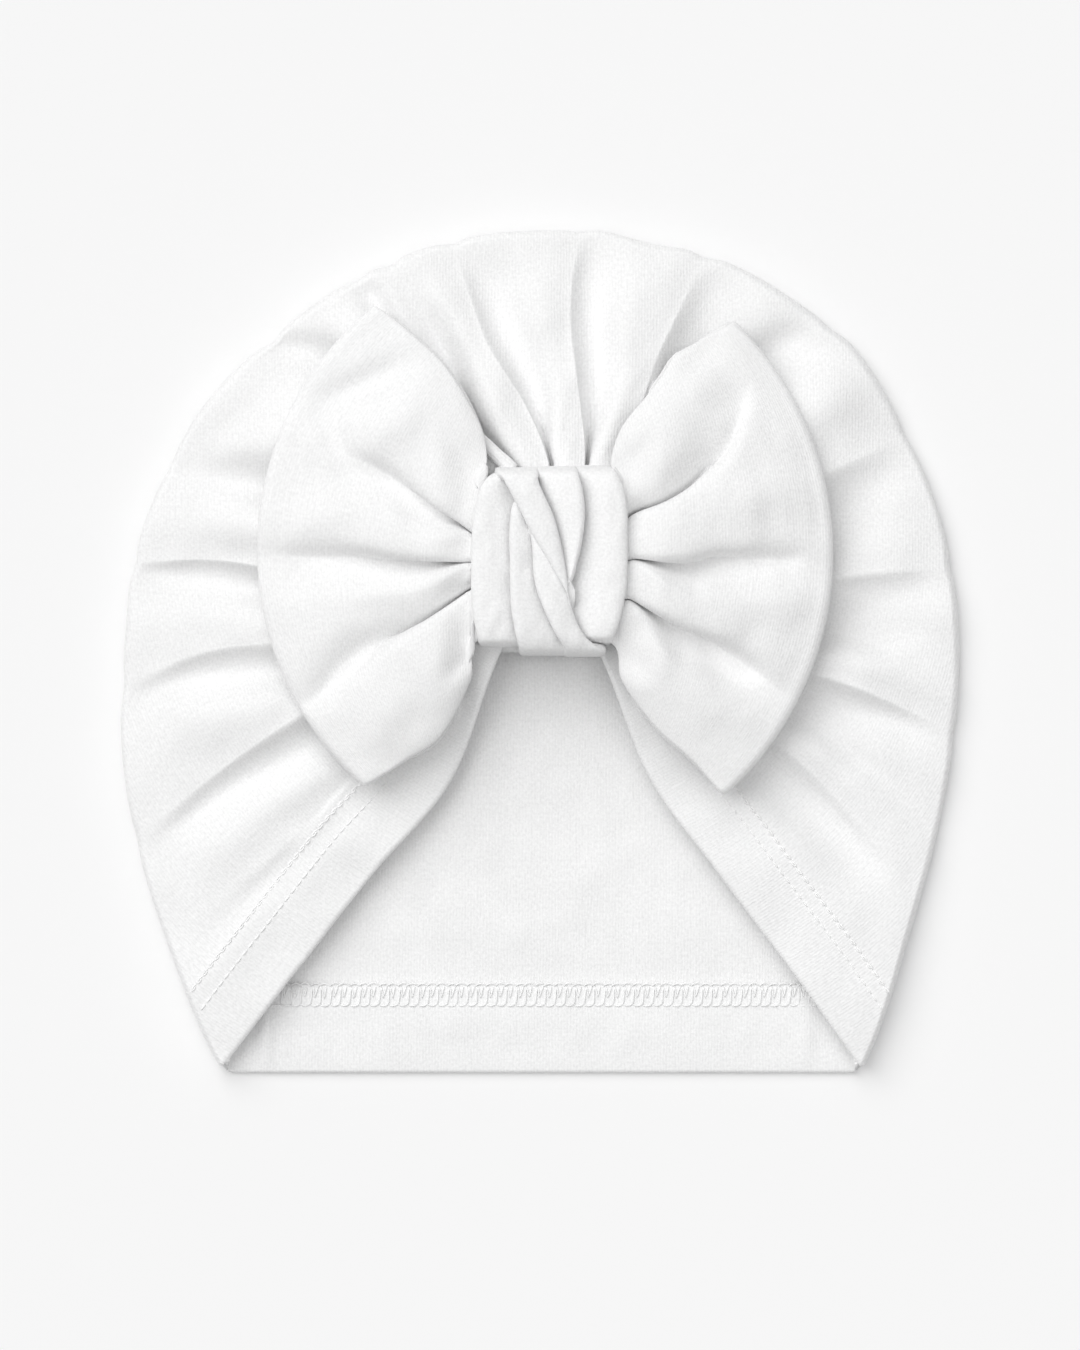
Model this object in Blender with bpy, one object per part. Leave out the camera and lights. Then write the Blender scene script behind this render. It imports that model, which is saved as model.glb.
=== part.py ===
"""A baby's knitted headwrap with a bow, lying on its back.

The cap is one hollow cloth: a back panel flat on the table, a soft roll round the outline and
a front that is gathered in pleats to a knot. A hem is turned in along the face opening. Two
bow loops come out of the knot, which is a band of cloth wound over the gathers.
X runs to the right, Y towards the crown and Z up from the table, with the origin under the
middle of the cap.
"""

import math
from collections import namedtuple

import bmesh
import bpy
from mathutils import Vector

# Sizes are in millimetres and angles in degrees, counted from +X about the knot's middle.
MM = 0.001
CLOTH = 1.0
HEM_CLOTH = 1.0
UNDER_HEM_GAP = 0.85
SEAT_GAP = 0.35

KNOT_X = 2.0
KNOT_Y = 19.3
KNOT_HALF_HEIGHT = 20.0
KNOT_TOP_Z = 25.0
KNOT_CLOTH = 2.0
KNOT_SQUARENESS = 3.2

LOFT_AT_KNOT = 13.0
LOFT_AT_RIM = 7.2
LOFT_AT_CORNER = 5.5
CORNER_REACH = 70.0
RIM_ROLL = 8.0
RIM_MIDDLE_Z = 2.5
UNDER_ROLL = 3.0

CROWN_ANGLE = 90.0
GATHER_RADIUS = 20.0
SEAM_HALF_GAP = 0.3
SEAM_TURN = 6.0
SEAM_SPREAD = 152.0
SEAM_TOP = 13.0
SEAM_BOTTOM = -17.3

BOTTOM_EDGE_Y = -88.3
BACK_SPREAD = 0.56
HEM_WIDTH = 18.5
HEM_END_INSET = 5.0
HEM_END_SLANT = 4.0
SIDE_HEM_WIDTH = 15.0
SIDE_HEM_START = 26.0
SIDE_HEM_END = 10.0
SIDE_HEM_INSET = 0.4
SIDE_HEM_TAPER = 0.3

# How the cap's cloth is divided: the fewest columns between two creases and the angle of one
# column, the share of the front's rows before the rim bends down, and the rows of each part.
LEAST_COLUMNS = 3
COLUMN_ANGLE = 4.2
FLAT_ROW_SHARE = 0.7
GATHER_ROWS = 2
FRONT_ROWS = 11
ROLL_ROWS = 3
BACK_ROWS = 3

WHITE = (0.93, 0.93, 0.92, 1.0)

# The cap's outline, seen from above: rows of the angle and the distance from the knot's
# middle.
OUTLINE = (
    (237.3, 127.2),
    (225.8, 114.2),
    (215.2, 105.6),
    (204.0, 98.2),
    (192.0, 91.2),
    (180.0, 87.2),
    (166.0, 82.2),
    (154.9, 79.1),
    (141.5, 74.6),
    (125.6, 71.8),
    (107.3, 70.1),
    (89.8, 69.1),
    (81.2, 69.9),
    (72.3, 69.7),
    (63.8, 71.9),
    (45.5, 75.1),
    (35.7, 77.8),
    (19.5, 79.3),
    (7.0, 82.3),
    (-7.8, 86.5),
    (-21.5, 91.7),
    (-34.1, 98.7),
    (-46.8, 109.7),
    (-58.4, 125.3),
)

# The creases between the pleats, from the left corner round to the right one. Each has its
# angle at the gathers, at each quarter of the way and at the outline, its depth, the half
# widths of its valley on the side of larger and of smaller angles, and the share of the way
# to the outline where it fades. The first and last rows are the hemmed edges.
Pleat = namedtuple("Pleat", "stops depth wide_up wide_down reach")
PLEAT_STOPS = (0.0, 0.25, 0.5, 0.75, 1.0)
PLEATS = (
    Pleat((242.0, 246.3, 241.0, 238.5, 237.2), 0.0, 1.0, 1.0, 1.00),
    Pleat((229.0, 228.6, 227.9, 226.3, 225.0), 2.2, 4.5, 4.0, 0.88),
    Pleat((210.0, 211.0, 211.6, 212.6, 214.0), 2.9, 4.5, 4.5, 0.95),
    Pleat((198.0, 197.5, 196.8, 194.9, 196.5), 2.8, 4.5, 4.0, 0.96),
    Pleat((183.0, 182.5, 182.0, 180.0, 180.4), 3.3, 3.0, 4.0, 1.02),
    Pleat((165.0, 165.0, 165.3, 165.8, 166.2), 2.2, 5.0, 3.4, 0.96),
    Pleat((135.0, 136.0, 137.0, 137.5, 141.6), 1.6, 4.5, 4.0, 1.00),
    Pleat((125.5, 125.0, 124.0, 124.0, 124.3), 1.0, 3.0, 3.0, 0.97),
    Pleat((114.0, 119.0, 116.9, 117.6, 118.5), 2.2, 4.0, 3.5, 0.78),
    Pleat((90.6, 98.8, 105.6, 106.9, 107.0), 3.2, 2.4, 5.0, 0.97),
    Pleat((69.0, 78.5, 84.0, 85.5, 84.6), 3.2, 2.4, 5.0, 0.99),
    Pleat((52.0, 57.8, 61.8, 62.7, 63.0), 3.2, 3.0, 5.5, 0.97),
    Pleat((38.0, 42.0, 43.5, 43.0, 39.5), 2.6, 3.2, 5.0, 0.99),
    Pleat((17.0, 16.8, 17.2, 18.0, 19.5), 3.4, 2.4, 5.5, 1.00),
    Pleat((-4.0, -4.0, -3.8, -1.9, -1.0), 3.3, 2.2, 5.0, 1.00),
    Pleat((-14.0, -14.0, -14.0, -13.8, -13.5), 1.1, 2.6, 4.0, 0.84),
    Pleat((-22.5, -22.5, -22.6, -22.4, -23.2), 3.0, 2.4, 5.0, 0.98),
    Pleat((-31.5, -31.5, -31.5, -32.6, -34.4), 0.9, 3.0, 4.0, 0.80),
    Pleat((-40.0, -38.2, -38.2, -40.2, -42.5), 3.4, 3.6, 6.0, 0.94),
    Pleat((-61.8, -65.6, -62.0, -59.6, -58.5), 0.0, 1.0, 1.0, 1.00),
)

# Each bow loop: the end of its upper and lower edge at the knot, the point that the edge
# bends towards and the tip, from the knot's middle, and the arc of its outer fold.
Loop = namedtuple("Loop", "waist_top bend_top tip_top waist_low bend_low tip_low "
                          "arc_centre arc_radius")
LOOPS = {
    "left": Loop((-13.6, 15.4), (-14.5, 38.0), (-36.5, 52.1),
                 (-16.2, -15.4), (-18.6, -37.5), (-39.7, -47.7), (4.6, 2.0), 65.7),
    "right": Loop((13.6, 15.6), (17.0, 42.6), (39.7, 50.4),
                  (15.4, -15.4), (18.4, -35.5), (36.3, -47.9), (-8.5, 1.3), 67.7),
}

# The loops' creases: the share of the loop's height at the knot, half way and at the fold,
# the depth, the half width at mid length and the share of the length where it fades.
LoopCrease = namedtuple("LoopCrease", "at_knot half_way at_fold depth width reach")
LOOP_CREASES = {
    "left": (
        LoopCrease(0.780, 0.670, 0.800, 3.6, 3.6, 0.92),
        LoopCrease(0.520, 0.480, 0.487, 3.4, 3.2, 0.96),
        LoopCrease(0.300, 0.240, 0.150, 3.8, 3.8, 0.92),
    ),
    "right": (
        LoopCrease(0.700, 0.700, 0.840, 3.8, 3.8, 0.90),
        LoopCrease(0.464, 0.450, 0.468, 3.4, 3.2, 0.92),
        LoopCrease(0.250, 0.280, 0.110, 3.8, 3.8, 0.94),
    ),
}
LOOP_CLOTH = 1.2
LOOP_LIFT = 0.5
LOOP_PUFF = 7.4
LOOP_FOLD_HEIGHT = 3.6
LOOP_EDGE_HEIGHT = 2.8
LOOP_FOLD_START = 0.985
LOOP_STEPS = 5
LOOP_WAIST_ROWS = 2
LOOP_LENGTH_ROWS = 8
LOOP_FOLD_ROWS = 3
LOOP_HEIGHT_AT_KNOT = 31.0
LOOP_HEIGHT_AT_FOLD = 99.0
WAIST_NARROWING = 0.806
WAIST_SHARE = 0.26

# The turns of the knot. A side line is a run of heights over the knot's middle and places
# across it; each turn has its side lines and how much it stands over its neighbours.
SIDE_LINES = {
    "far_left": ((20.0, -13.0), (15.0, -15.2), (4.0, -16.5), (-5.0, -16.8), (-14.0, -15.9),
                 (-20.0, -14.4)),
    "left_inner": ((20.0, -11.8), (11.4, -8.8), (0.0, -8.8), (-10.0, -8.2), (-20.0, -6.6)),
    "low_left": ((13.4, -9.2), (5.9, -5.6), (4.2, -4.7), (-2.3, -4.2), (-9.2, -2.5),
                 (-17.6, 0.2), (-20.0, 1.4)),
    "cross_low": ((20.0, -11.7), (13.4, -9.0), (5.9, -5.2), (-3.4, 0.0),
                  (-10.3, 4.8), (-16.2, 8.6), (-20.0, 10.9)),
    "cross_up": ((20.0, -2.3), (13.2, 0.2), (8.0, 1.9), (0.4, 4.0), (-5.9, 4.8), (-10.3, 4.8)),
    "right_inner": ((20.0, 5.9), (13.2, 7.3), (6.3, 7.4), (-0.6, 6.5), (-6.5, 4.9),
                    (-10.3, 4.8), (-16.2, 8.6), (-20.0, 10.9)),
    "far_right": ((20.0, 15.2), (10.3, 16.6), (1.0, 17.0), (-7.6, 16.4), (-14.5, 15.1),
                  (-20.0, 13.4)),
}
Turn = namedtuple("Turn", "left_line right_line top bottom stands")
TURNS = {
    "knot_wrap_left": Turn("far_left", "left_inner", 19.0, -19.2, 0.0),
    "knot_fold_left": Turn("left_inner", "low_left", 9.0, -19.8, 0.18),
    "knot_fold_low": Turn("low_left", "cross_low", 1.4, -20.0, 0.3),
    "knot_cross": Turn("cross_low", "cross_up", 19.6, -8.6, 0.6),
    "knot_fold_right": Turn("cross_up", "right_inner", 20.0, -4.4, 0.36),
    "knot_wrap_right": Turn("right_inner", "far_right", 19.4, -18.8, 0.12),
}
TURN_COLUMNS = 5
TURN_ROWS = 12
TURN_GAP = 0.3
TURN_CROWN = 0.9
TURN_SQUEEZE = 23.0
KNOT_FOOT_TOP = 13.4
KNOT_END_GAP = 0.4
UNDER_KNOT_GAP = 0.5
UNDER_KNOT_MARGIN = 1.12
INNER_BAND_SIZE = (26.0, 32.0, 1.2)
INNER_BAND_TOP_Z = 8.6


def mix(a, b, share):
    return a + (b - a) * share


def ease(low, high, value):
    """0 below low, 1 above high and a smooth step between."""
    share = min(1.0, max(0.0, (value - low) / (high - low)))
    return share * share * (3.0 - 2.0 * share)


def smooth_between(rows, at):
    """A smooth curve through (place, value) rows, whose places rise or fall."""
    if rows[0][0] > rows[-1][0]:
        rows = rows[::-1]
    at = min(max(at, rows[0][0]), rows[-1][0])
    last = len(rows) - 2
    k = next((i for i in range(last) if at <= rows[i + 1][0]), last)

    def slope(i):
        low, high = max(i - 1, 0), min(i + 1, len(rows) - 1)
        return (rows[high][1] - rows[low][1]) / (rows[high][0] - rows[low][0])

    (x0, y0), (x1, y1) = rows[k], rows[k + 1]
    step = x1 - x0
    share = (at - x0) / step
    square, cube = share * share, share * share * share
    return ((2 * cube - 3 * square + 1) * y0 + (cube - 2 * square + share) * step * slope(k)
            + (3 * square - 2 * cube) * y1 + (cube - square) * step * slope(k + 1))


def direction(angle):
    return Vector((math.cos(math.radians(angle)), math.sin(math.radians(angle)), 0.0))


KNOT = Vector((KNOT_X, KNOT_Y, 0.0))


def outline_radius(angle):
    return smooth_between(OUTLINE, angle)


def corner(row):
    """Where the hemmed edge of a PLEATS row ends, at a lower corner of the cap."""
    angle = PLEATS[row].stops[-1]
    return KNOT + direction(angle) * outline_radius(angle)


def crease_angle(row, out):
    """A crease's angle at a share of the way from the gathers to the outline."""
    return smooth_between(tuple(zip(PLEAT_STOPS, PLEATS[row].stops)), out)


def valley(distance, wide, sharp):
    return math.exp(-((abs(distance) / wide) ** sharp))


def pleat_depth(angle, radius, out):
    """How far the creases pull the front down at a point."""
    total = 0.0
    room = max(0.35, min(1.0, radius / 60.0)) ** 0.8
    sharp = mix(1.0, 1.7, out)
    for row, pleat in enumerate(PLEATS):
        if not pleat.depth:
            continue
        away = math.radians(angle - crease_angle(row, out)) * radius
        wide = (pleat.wide_up if away > 0 else pleat.wide_down) * room
        fade = 1.0 - ease(pleat.reach - 0.35, pleat.reach + 0.04, out)
        near = ease(4.0, GATHER_RADIUS, radius)
        total = max(total, pleat.depth * fade * near * valley(away, wide, sharp))
    return total


def loft(point, out):
    """The front's height without its pleats, away from the rolled rim."""
    height = mix(LOFT_AT_KNOT, LOFT_AT_RIM, out ** 1.3)
    for row in (0, -1):
        near = 1.0 - ease(0.0, CORNER_REACH, (point - corner(row)).length)
        height = mix(height, LOFT_AT_CORNER, near)
    return height


def front_point(angle, radius):
    """A point of the front's outer face and the way out of the cloth there, without pleats."""
    rim = outline_radius(angle)
    inward = rim - radius
    out = min(1.0, max(0.0, (radius - GATHER_RADIUS) / (rim - GATHER_RADIUS)))
    point = KNOT + direction(angle) * radius
    height = loft(point, out)
    share = min(1.0, inward / RIM_ROLL)
    turn = math.acos(1.0 - share)
    point.z = RIM_MIDDLE_Z + (height - RIM_MIDDLE_Z) * math.sin(turn)
    out_of_cloth = direction(angle) * (height - RIM_MIDDLE_Z) * math.cos(turn)
    out_of_cloth.z = RIM_ROLL * math.sin(turn)
    return point, out_of_cloth.normalized(), out


def cap_front(angle, radius, under=0.0):
    """A point of the front, as deep under its outer face as asked."""
    point, out_of_cloth, out = front_point(angle, radius)
    flatten = ease(0.0, RIM_ROLL, outline_radius(angle) - radius)
    drop = pleat_depth(angle, radius, out) * mix(0.25, 1.0, flatten)
    return point - out_of_cloth * (drop + under)


def column_places():
    """The columns of the cap's cloth: the crease on the left and the share of the way to the
    next, closer together near the creases."""
    places = []
    for row in range(len(PLEATS) - 1):
        gap = PLEATS[row].stops[-1] - PLEATS[row + 1].stops[-1]
        steps = max(LEAST_COLUMNS, round(gap / COLUMN_ANGLE))
        places += [(row, (1.0 - math.cos(math.pi * k / steps)) / 2.0) for k in range(steps)]
    return places + [(len(PLEATS) - 2, 1.0)]


def column_angle(place, out):
    row, share = place
    return mix(crease_angle(row, out), crease_angle(row + 1, out), share)


def seam_point(angle):
    """Where a column of cloth ends, at the gathered seam under the knot."""
    rise = 1.0 - abs(angle - CROWN_ANGLE) / SEAM_SPREAD
    side = SEAM_HALF_GAP * max(-1.0, min(1.0, (CROWN_ANGLE - angle) / SEAM_TURN))
    return KNOT + Vector((side, mix(SEAM_BOTTOM, SEAM_TOP, rise), 0.0))


def gathered_point(place, share, under):
    """From the seam, at share 0, to the ring where the pleats open, at share 1."""
    angle = column_angle(place, 0.0)
    ring = cap_front(angle, GATHER_RADIUS, under)
    seam = seam_point(angle)
    seam.z = LOFT_AT_KNOT - under
    return seam.lerp(ring, share)


def front_rows(place, share, under):
    """From the ring of the gathers, at share 0, to the middle of the rim, at share 1."""
    rim_angle = column_angle(place, 1.0)
    rim = outline_radius(rim_angle)
    flat = (rim - GATHER_RADIUS - RIM_ROLL) / (rim - GATHER_RADIUS)
    if share <= FLAT_ROW_SHARE:
        out = flat * share / FLAT_ROW_SHARE
    else:
        turn = math.pi / 2.0 * (1.0 - share) / (1.0 - FLAT_ROW_SHARE)
        out = 1.0 - (1.0 - flat) * (1.0 - math.cos(turn))
    angle = column_angle(place, out)
    radius = mix(GATHER_RADIUS, outline_radius(angle), out)
    return cap_front(angle, radius, under)


def hem_end(place, columns):
    """Where a column of the back ends on the lower edge."""
    share = columns.index(place) / (len(columns) - 1)
    middle = (corner(0) + corner(-1)) / 2.0
    half = (corner(-1).x - corner(0).x) / 2.0 * BACK_SPREAD
    return Vector((middle.x + mix(-half, half, share), BOTTOM_EDGE_Y, 0.0))


def under_roll(place, share, under, columns):
    """From the middle of the rim round to the flat back."""
    angle = column_angle(place, 1.0)
    rim = KNOT + direction(angle) * outline_radius(angle)
    ahead = hem_end(place, columns) - rim
    ahead.z = 0.0
    inward = (-direction(angle)).lerp(ahead.normalized(), 0.5 + 0.5 * share).normalized()
    turn = math.pi / 2.0 * share
    point = rim + inward * UNDER_ROLL * (1.0 - math.cos(turn))
    point.z = RIM_MIDDLE_Z * (1.0 - math.sin(turn))
    out_of_cloth = -inward * RIM_MIDDLE_Z * math.cos(turn)
    out_of_cloth.z = -UNDER_ROLL * math.sin(turn)
    return point - out_of_cloth.normalized() * under


def back_point(place, share, under, columns):
    """Across the flat back to the lower edge."""
    start = under_roll(place, 1.0, under, columns)
    end = hem_end(place, columns)
    end.z = start.z
    return start.lerp(end, share)


def jersey(name):
    material = bpy.data.materials.new(f"{name}_jersey")
    material.use_nodes = True
    shader = material.node_tree.nodes["Principled BSDF"]
    shader.inputs["Base Color"].default_value = WHITE
    shader.inputs["Roughness"].default_value = 0.9
    shader.inputs["Metallic"].default_value = 0.0
    return material


def cloth_wall(name, columns, rows, face):
    """A closed wall of cloth. face(column, row, side) gives its points in millimetres, where
    side 0 is the outer face and side 1 the inner one."""
    cloth = bmesh.new()
    bmesh.ops.create_grid(cloth, x_segments=columns, y_segments=rows, size=0.5)
    inner = list(cloth.verts)
    bmesh.ops.extrude_face_region(cloth, geom=cloth.faces[:], use_keep_orig=True)
    outer = [vert for vert in cloth.verts if vert not in set(inner)]
    for side, verts in enumerate((outer, inner)):
        for vert in verts:
            column = round((vert.co.x + 0.5) * columns)
            row = round((vert.co.y + 0.5) * rows)
            vert.co = face(column, row, side) * MM
    bmesh.ops.recalc_face_normals(cloth, faces=cloth.faces[:])
    if cloth.calc_volume(signed=True) < 0.0:
        bmesh.ops.reverse_faces(cloth, faces=cloth.faces[:])
    mesh = bpy.data.meshes.new(name)
    cloth.to_mesh(mesh)
    cloth.free()
    mesh.shade_smooth()
    mesh.set_sharp_from_angle(angle=math.radians(50.0))
    mesh.materials.append(jersey(name))
    obj = bpy.data.objects.new(name, mesh)
    bpy.context.scene.collection.objects.link(obj)
    return obj


def make_cap():
    """The whole cap: gathers, pleated front, rolled rim and flat back, in one cloth."""
    columns = column_places()
    rows = GATHER_ROWS + FRONT_ROWS + ROLL_ROWS + BACK_ROWS

    def face(column, row, side):
        place = columns[column]
        under = side * CLOTH
        if row < GATHER_ROWS:
            return gathered_point(place, row / GATHER_ROWS, under)
        row -= GATHER_ROWS
        if row <= FRONT_ROWS:
            return front_rows(place, row / FRONT_ROWS, under)
        row -= FRONT_ROWS
        if row <= ROLL_ROWS:
            return under_roll(place, row / ROLL_ROWS, under, columns)
        return back_point(place, (row - ROLL_ROWS) / BACK_ROWS, under, columns)

    return cloth_wall("cap_shell", len(columns) - 1, rows, face)


def make_back_hem():
    """The turned-in hem that lies on the back, along the lower edge."""
    left, right = corner(0).x + HEM_END_INSET, corner(-1).x - HEM_END_INSET
    low_z = CLOTH + SEAT_GAP

    def face(column, row, side):
        x = mix(left, right, column / 12)
        slant = HEM_END_SLANT * abs(column / 6 - 1.0) ** 8
        y = BOTTOM_EDGE_Y + HEM_WIDTH * row / 2 + slant * (1.0 - row / 2)
        return Vector((x, y, low_z + (0.0 if side else HEM_CLOTH)))

    return cloth_wall("brim_hem_back", 12, 2, face)


def make_front_hem(name, row_of_edge, inside):
    """The turned-in hem under one slanting edge of the front. inside is the sign of the
    angles that lead away from the edge."""
    rim = outline_radius(PLEATS[row_of_edge].stops[-1])
    start, end = SIDE_HEM_START, rim - SIDE_HEM_END
    along, across = 18, 5

    def face(column, row, side):
        radius = mix(start, end, column / along)
        out = (radius - GATHER_RADIUS) / (rim - GATHER_RADIUS)
        width = min(SIDE_HEM_WIDTH, radius * SIDE_HEM_TAPER, (end - radius) * 0.9 + 6.0)
        edge = crease_angle(row_of_edge, out)
        angle = edge + inside * math.degrees((SIDE_HEM_INSET + width * row / across) / radius)
        under = CLOTH + UNDER_HEM_GAP + side * HEM_CLOTH
        return cap_front(angle, radius, under)

    return cloth_wall(name, along, across, face)


def bend_between(start, bend, end, share):
    """A point on the curve from start to end that bends towards the point between."""
    return ((1.0 - share) ** 2 * Vector(start) + 2.0 * share * (1.0 - share) * Vector(bend)
            + share ** 2 * Vector(end))


def loop_plan(side, out, rise):
    """A loop's point seen from above, from the knot's middle. out runs from the knot at 0 to
    the outer fold at 1, and rise from the lower edge to the upper one."""
    loop = LOOPS[side]
    if out < 0.0:
        share = out / -WAIST_SHARE
        waist = Vector(loop.waist_low).lerp(Vector(loop.waist_top), rise)
        seam_x = math.copysign(0.2, waist.x)
        return Vector((mix(waist.x, seam_x, share), waist.y * mix(1.0, WAIST_NARROWING, share)))
    upper = bend_between(loop.waist_top, loop.bend_top, loop.tip_top, out)
    lower = bend_between(loop.waist_low, loop.bend_low, loop.tip_low, out)
    point = lower.lerp(upper, rise)
    centre, low, top = Vector(loop.arc_centre), Vector(loop.tip_low), Vector(loop.tip_top)
    start = math.atan2(*(low - centre).yx)
    sweep = math.atan2(*(top - centre).yx) - start
    sweep = (sweep + math.pi) % (2.0 * math.pi) - math.pi
    turn = start + sweep * rise
    arc = centre + loop.arc_radius * Vector((math.cos(turn), math.sin(turn)))
    chord = low.lerp(top, rise)
    return point + (arc - chord) * out ** 1.6


def crease_rise(crease, out):
    """A loop crease's share of the height, through its places at the knot, half way and at
    the fold."""
    share = max(0.0, out)
    return (crease.at_knot * (1.0 - share) * (1.0 - 2.0 * share)
            + crease.half_way * 4.0 * share * (1.0 - share)
            + crease.at_fold * share * (2.0 * share - 1.0))


def loop_crease(side, out, rise):
    """How far the creases of a loop pull its upper cloth down."""
    total = 0.0
    share = max(0.0, out)
    height = mix(LOOP_HEIGHT_AT_KNOT, LOOP_HEIGHT_AT_FOLD, share)
    for crease in LOOP_CREASES[side]:
        wide = crease.width * mix(0.5, 1.6, share)
        fade = 1.0 - ease(crease.reach - 0.6, crease.reach, out)
        near = ease(-WAIST_SHARE, 0.02, out)
        away = (rise - crease_rise(crease, out)) * height
        total = max(total, crease.depth * fade * near * valley(away, wide, mix(1.0, 1.7, share)))
    return total


def loop_rise(side, out, column):
    """The share of a loop's height at a column, whose columns crowd along the creases."""
    stops = [1.0] + [crease_rise(crease, out) for crease in LOOP_CREASES[side]] + [0.0]
    part, step = divmod(column, LOOP_STEPS)
    if part == len(stops) - 1:
        return 0.0
    share = (1.0 - math.cos(math.pi * step / LOOP_STEPS)) / 2.0
    return mix(stops[part], stops[part + 1], mix(step / LOOP_STEPS, share, 0.6))


def seat_height(plan):
    """The height of the cap's pleats under a point of the bow, without their creases."""
    radius = max(GATHER_RADIUS * 0.2, plan.length)
    angle = math.degrees(math.atan2(plan.y, plan.x))
    first, last = PLEATS[-1].stops[-1], PLEATS[0].stops[-1]
    if angle < first - 30.0:
        angle += 360.0
    inside = min(max(angle, first), last)
    radius = min(radius, outline_radius(inside) - 1.0)
    return front_point(inside, radius)[0].z


def loop_under(side, out, rise):
    """The height of the under side of a loop's lower cloth."""
    return seat_height(loop_plan(side, out, rise)) + LOOP_LIFT


def loop_over(side, out, rise):
    """The height of the upper side of a loop's upper cloth."""
    under = loop_under(side, out, rise)
    across = max(0.0, 1.0 - abs(2.0 * rise - 1.0) ** 3.0)
    share = max(0.0, out)
    puff = LOOP_PUFF * across ** 0.7 * (1.0 - share ** 3.0)
    edge = mix(LOOP_EDGE_HEIGHT, LOOP_FOLD_HEIGHT, share ** 3.0)
    height = under + edge + puff - loop_crease(side, out, rise) * across ** 0.5
    if out < 0.45:
        y = loop_plan(side, out, rise).y
        over = knot_height(y * UNDER_KNOT_MARGIN)
        below_knot = over - TURN_CROWN - KNOT_CLOTH - UNDER_KNOT_GAP
        height = mix(min(height, below_knot), height, ease(0.12, 0.45, out))
    return max(height, under + 2.0 * LOOP_CLOTH + 0.3)


def make_loop(side):
    """One loop of the bow: an upper and a lower cloth that join in the outer fold and are
    open between their upper and lower edges."""
    across = LOOP_STEPS * (len(LOOP_CREASES[side]) + 1)
    waist, length, fold = LOOP_WAIST_ROWS, LOOP_LENGTH_ROWS, LOOP_FOLD_ROWS
    rows = 2 * (waist + length) + fold

    def along(step):
        return -WAIST_SHARE * (1.0 - step / waist) if step < waist else (step - waist) / length

    def face(column, row, side_of_cloth):
        under = side_of_cloth * LOOP_CLOTH
        step = min(row, rows - row, waist + length)
        out = min(along(step), LOOP_FOLD_START)
        rise = loop_rise(side, out, column)
        plan = loop_plan(side, out, rise)
        low, high = loop_under(side, out, rise), loop_over(side, out, rise)
        if row <= waist + length:
            height = high - under
        elif row >= waist + length + fold:
            height = low + under
        else:
            turn = math.pi * (row - waist - length) / fold
            outward = (loop_plan(side, 1.0, rise) - plan).normalized()
            half = (high - low) / 2.0 - under
            plan = plan + outward * half * 0.8 * math.sin(turn)
            height = (high + low) / 2.0 + half * math.cos(turn)
        return KNOT + Vector((plan.x, plan.y, height))

    return cloth_wall(f"bow_loop_{side}", across, rows, face)


def knot_height(y):
    """The height of the knot's outer face over a place along it, from the knot's middle."""
    share = min(1.0, abs(y) / (KNOT_HALF_HEIGHT + KNOT_END_GAP))
    foot = KNOT_FOOT_TOP if y > 0 else INNER_BAND_TOP_Z + SEAT_GAP
    round_off = (1.0 - share ** KNOT_SQUARENESS) ** (1.0 / KNOT_SQUARENESS)
    return foot + (KNOT_TOP_Z - foot) * round_off


def make_turn(name):
    """One turn of the knot's band, a padded strip that bends over the gathers."""
    turn = TURNS[name]
    left, right = SIDE_LINES[turn.left_line], SIDE_LINES[turn.right_line]

    def face(column, row, side):
        # Closer together near the ends, where the strip bends down.
        place = math.sin(math.pi / 2.0 * (2.0 * row / TURN_ROWS - 1.0))
        y = mix(turn.bottom, turn.top, (place + 1.0) / 2.0)
        low, high = smooth_between(left, y) + TURN_GAP, smooth_between(right, y) - TURN_GAP
        share = column / TURN_COLUMNS
        crown = TURN_CROWN * math.sqrt(max(0.0, 1.0 - abs(2.0 * share - 1.0) ** 2.2))
        outer = knot_height(y) - TURN_CROWN + crown + turn.stands
        squeeze = 1.0 - side * KNOT_CLOTH / TURN_SQUEEZE
        return KNOT + Vector((mix(low, high, share), y * squeeze, outer - side * KNOT_CLOTH))

    return cloth_wall(name, TURN_COLUMNS, TURN_ROWS, face)


def make_inner_band():
    """The plain stretch of the knot's band that lies inside the cap."""
    width, length, thick = INNER_BAND_SIZE

    def face(column, row, side):
        x = width * (column / 4 - 0.5)
        y = mix(-KNOT_HALF_HEIGHT, length - KNOT_HALF_HEIGHT, row / 4)
        return KNOT + Vector((x, y, INNER_BAND_TOP_Z - side * thick))

    return cloth_wall("knot_inner_band", 4, 4, face)


def main():
    for obj in list(bpy.data.objects):
        bpy.data.objects.remove(obj)
    make_cap()
    make_back_hem()
    make_front_hem("brim_hem_left", 0, -1)
    make_front_hem("brim_hem_right", -1, 1)
    for side in LOOPS:
        make_loop(side)
    for name in TURNS:
        make_turn(name)
    make_inner_band()


main()
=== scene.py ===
"""The finished looks of a baby's knitted headwrap with a bow, which lies flat on a pale table.

The cap is one soft cloth: a front that is gathered in creases to a knot and rolls round the
outline, and a back panel whose hem is turned in along the lower edge. The bow's two loops
and the turns of the knot are padded strips. X runs to the right, Y towards the crown and Z up.
"""

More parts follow.
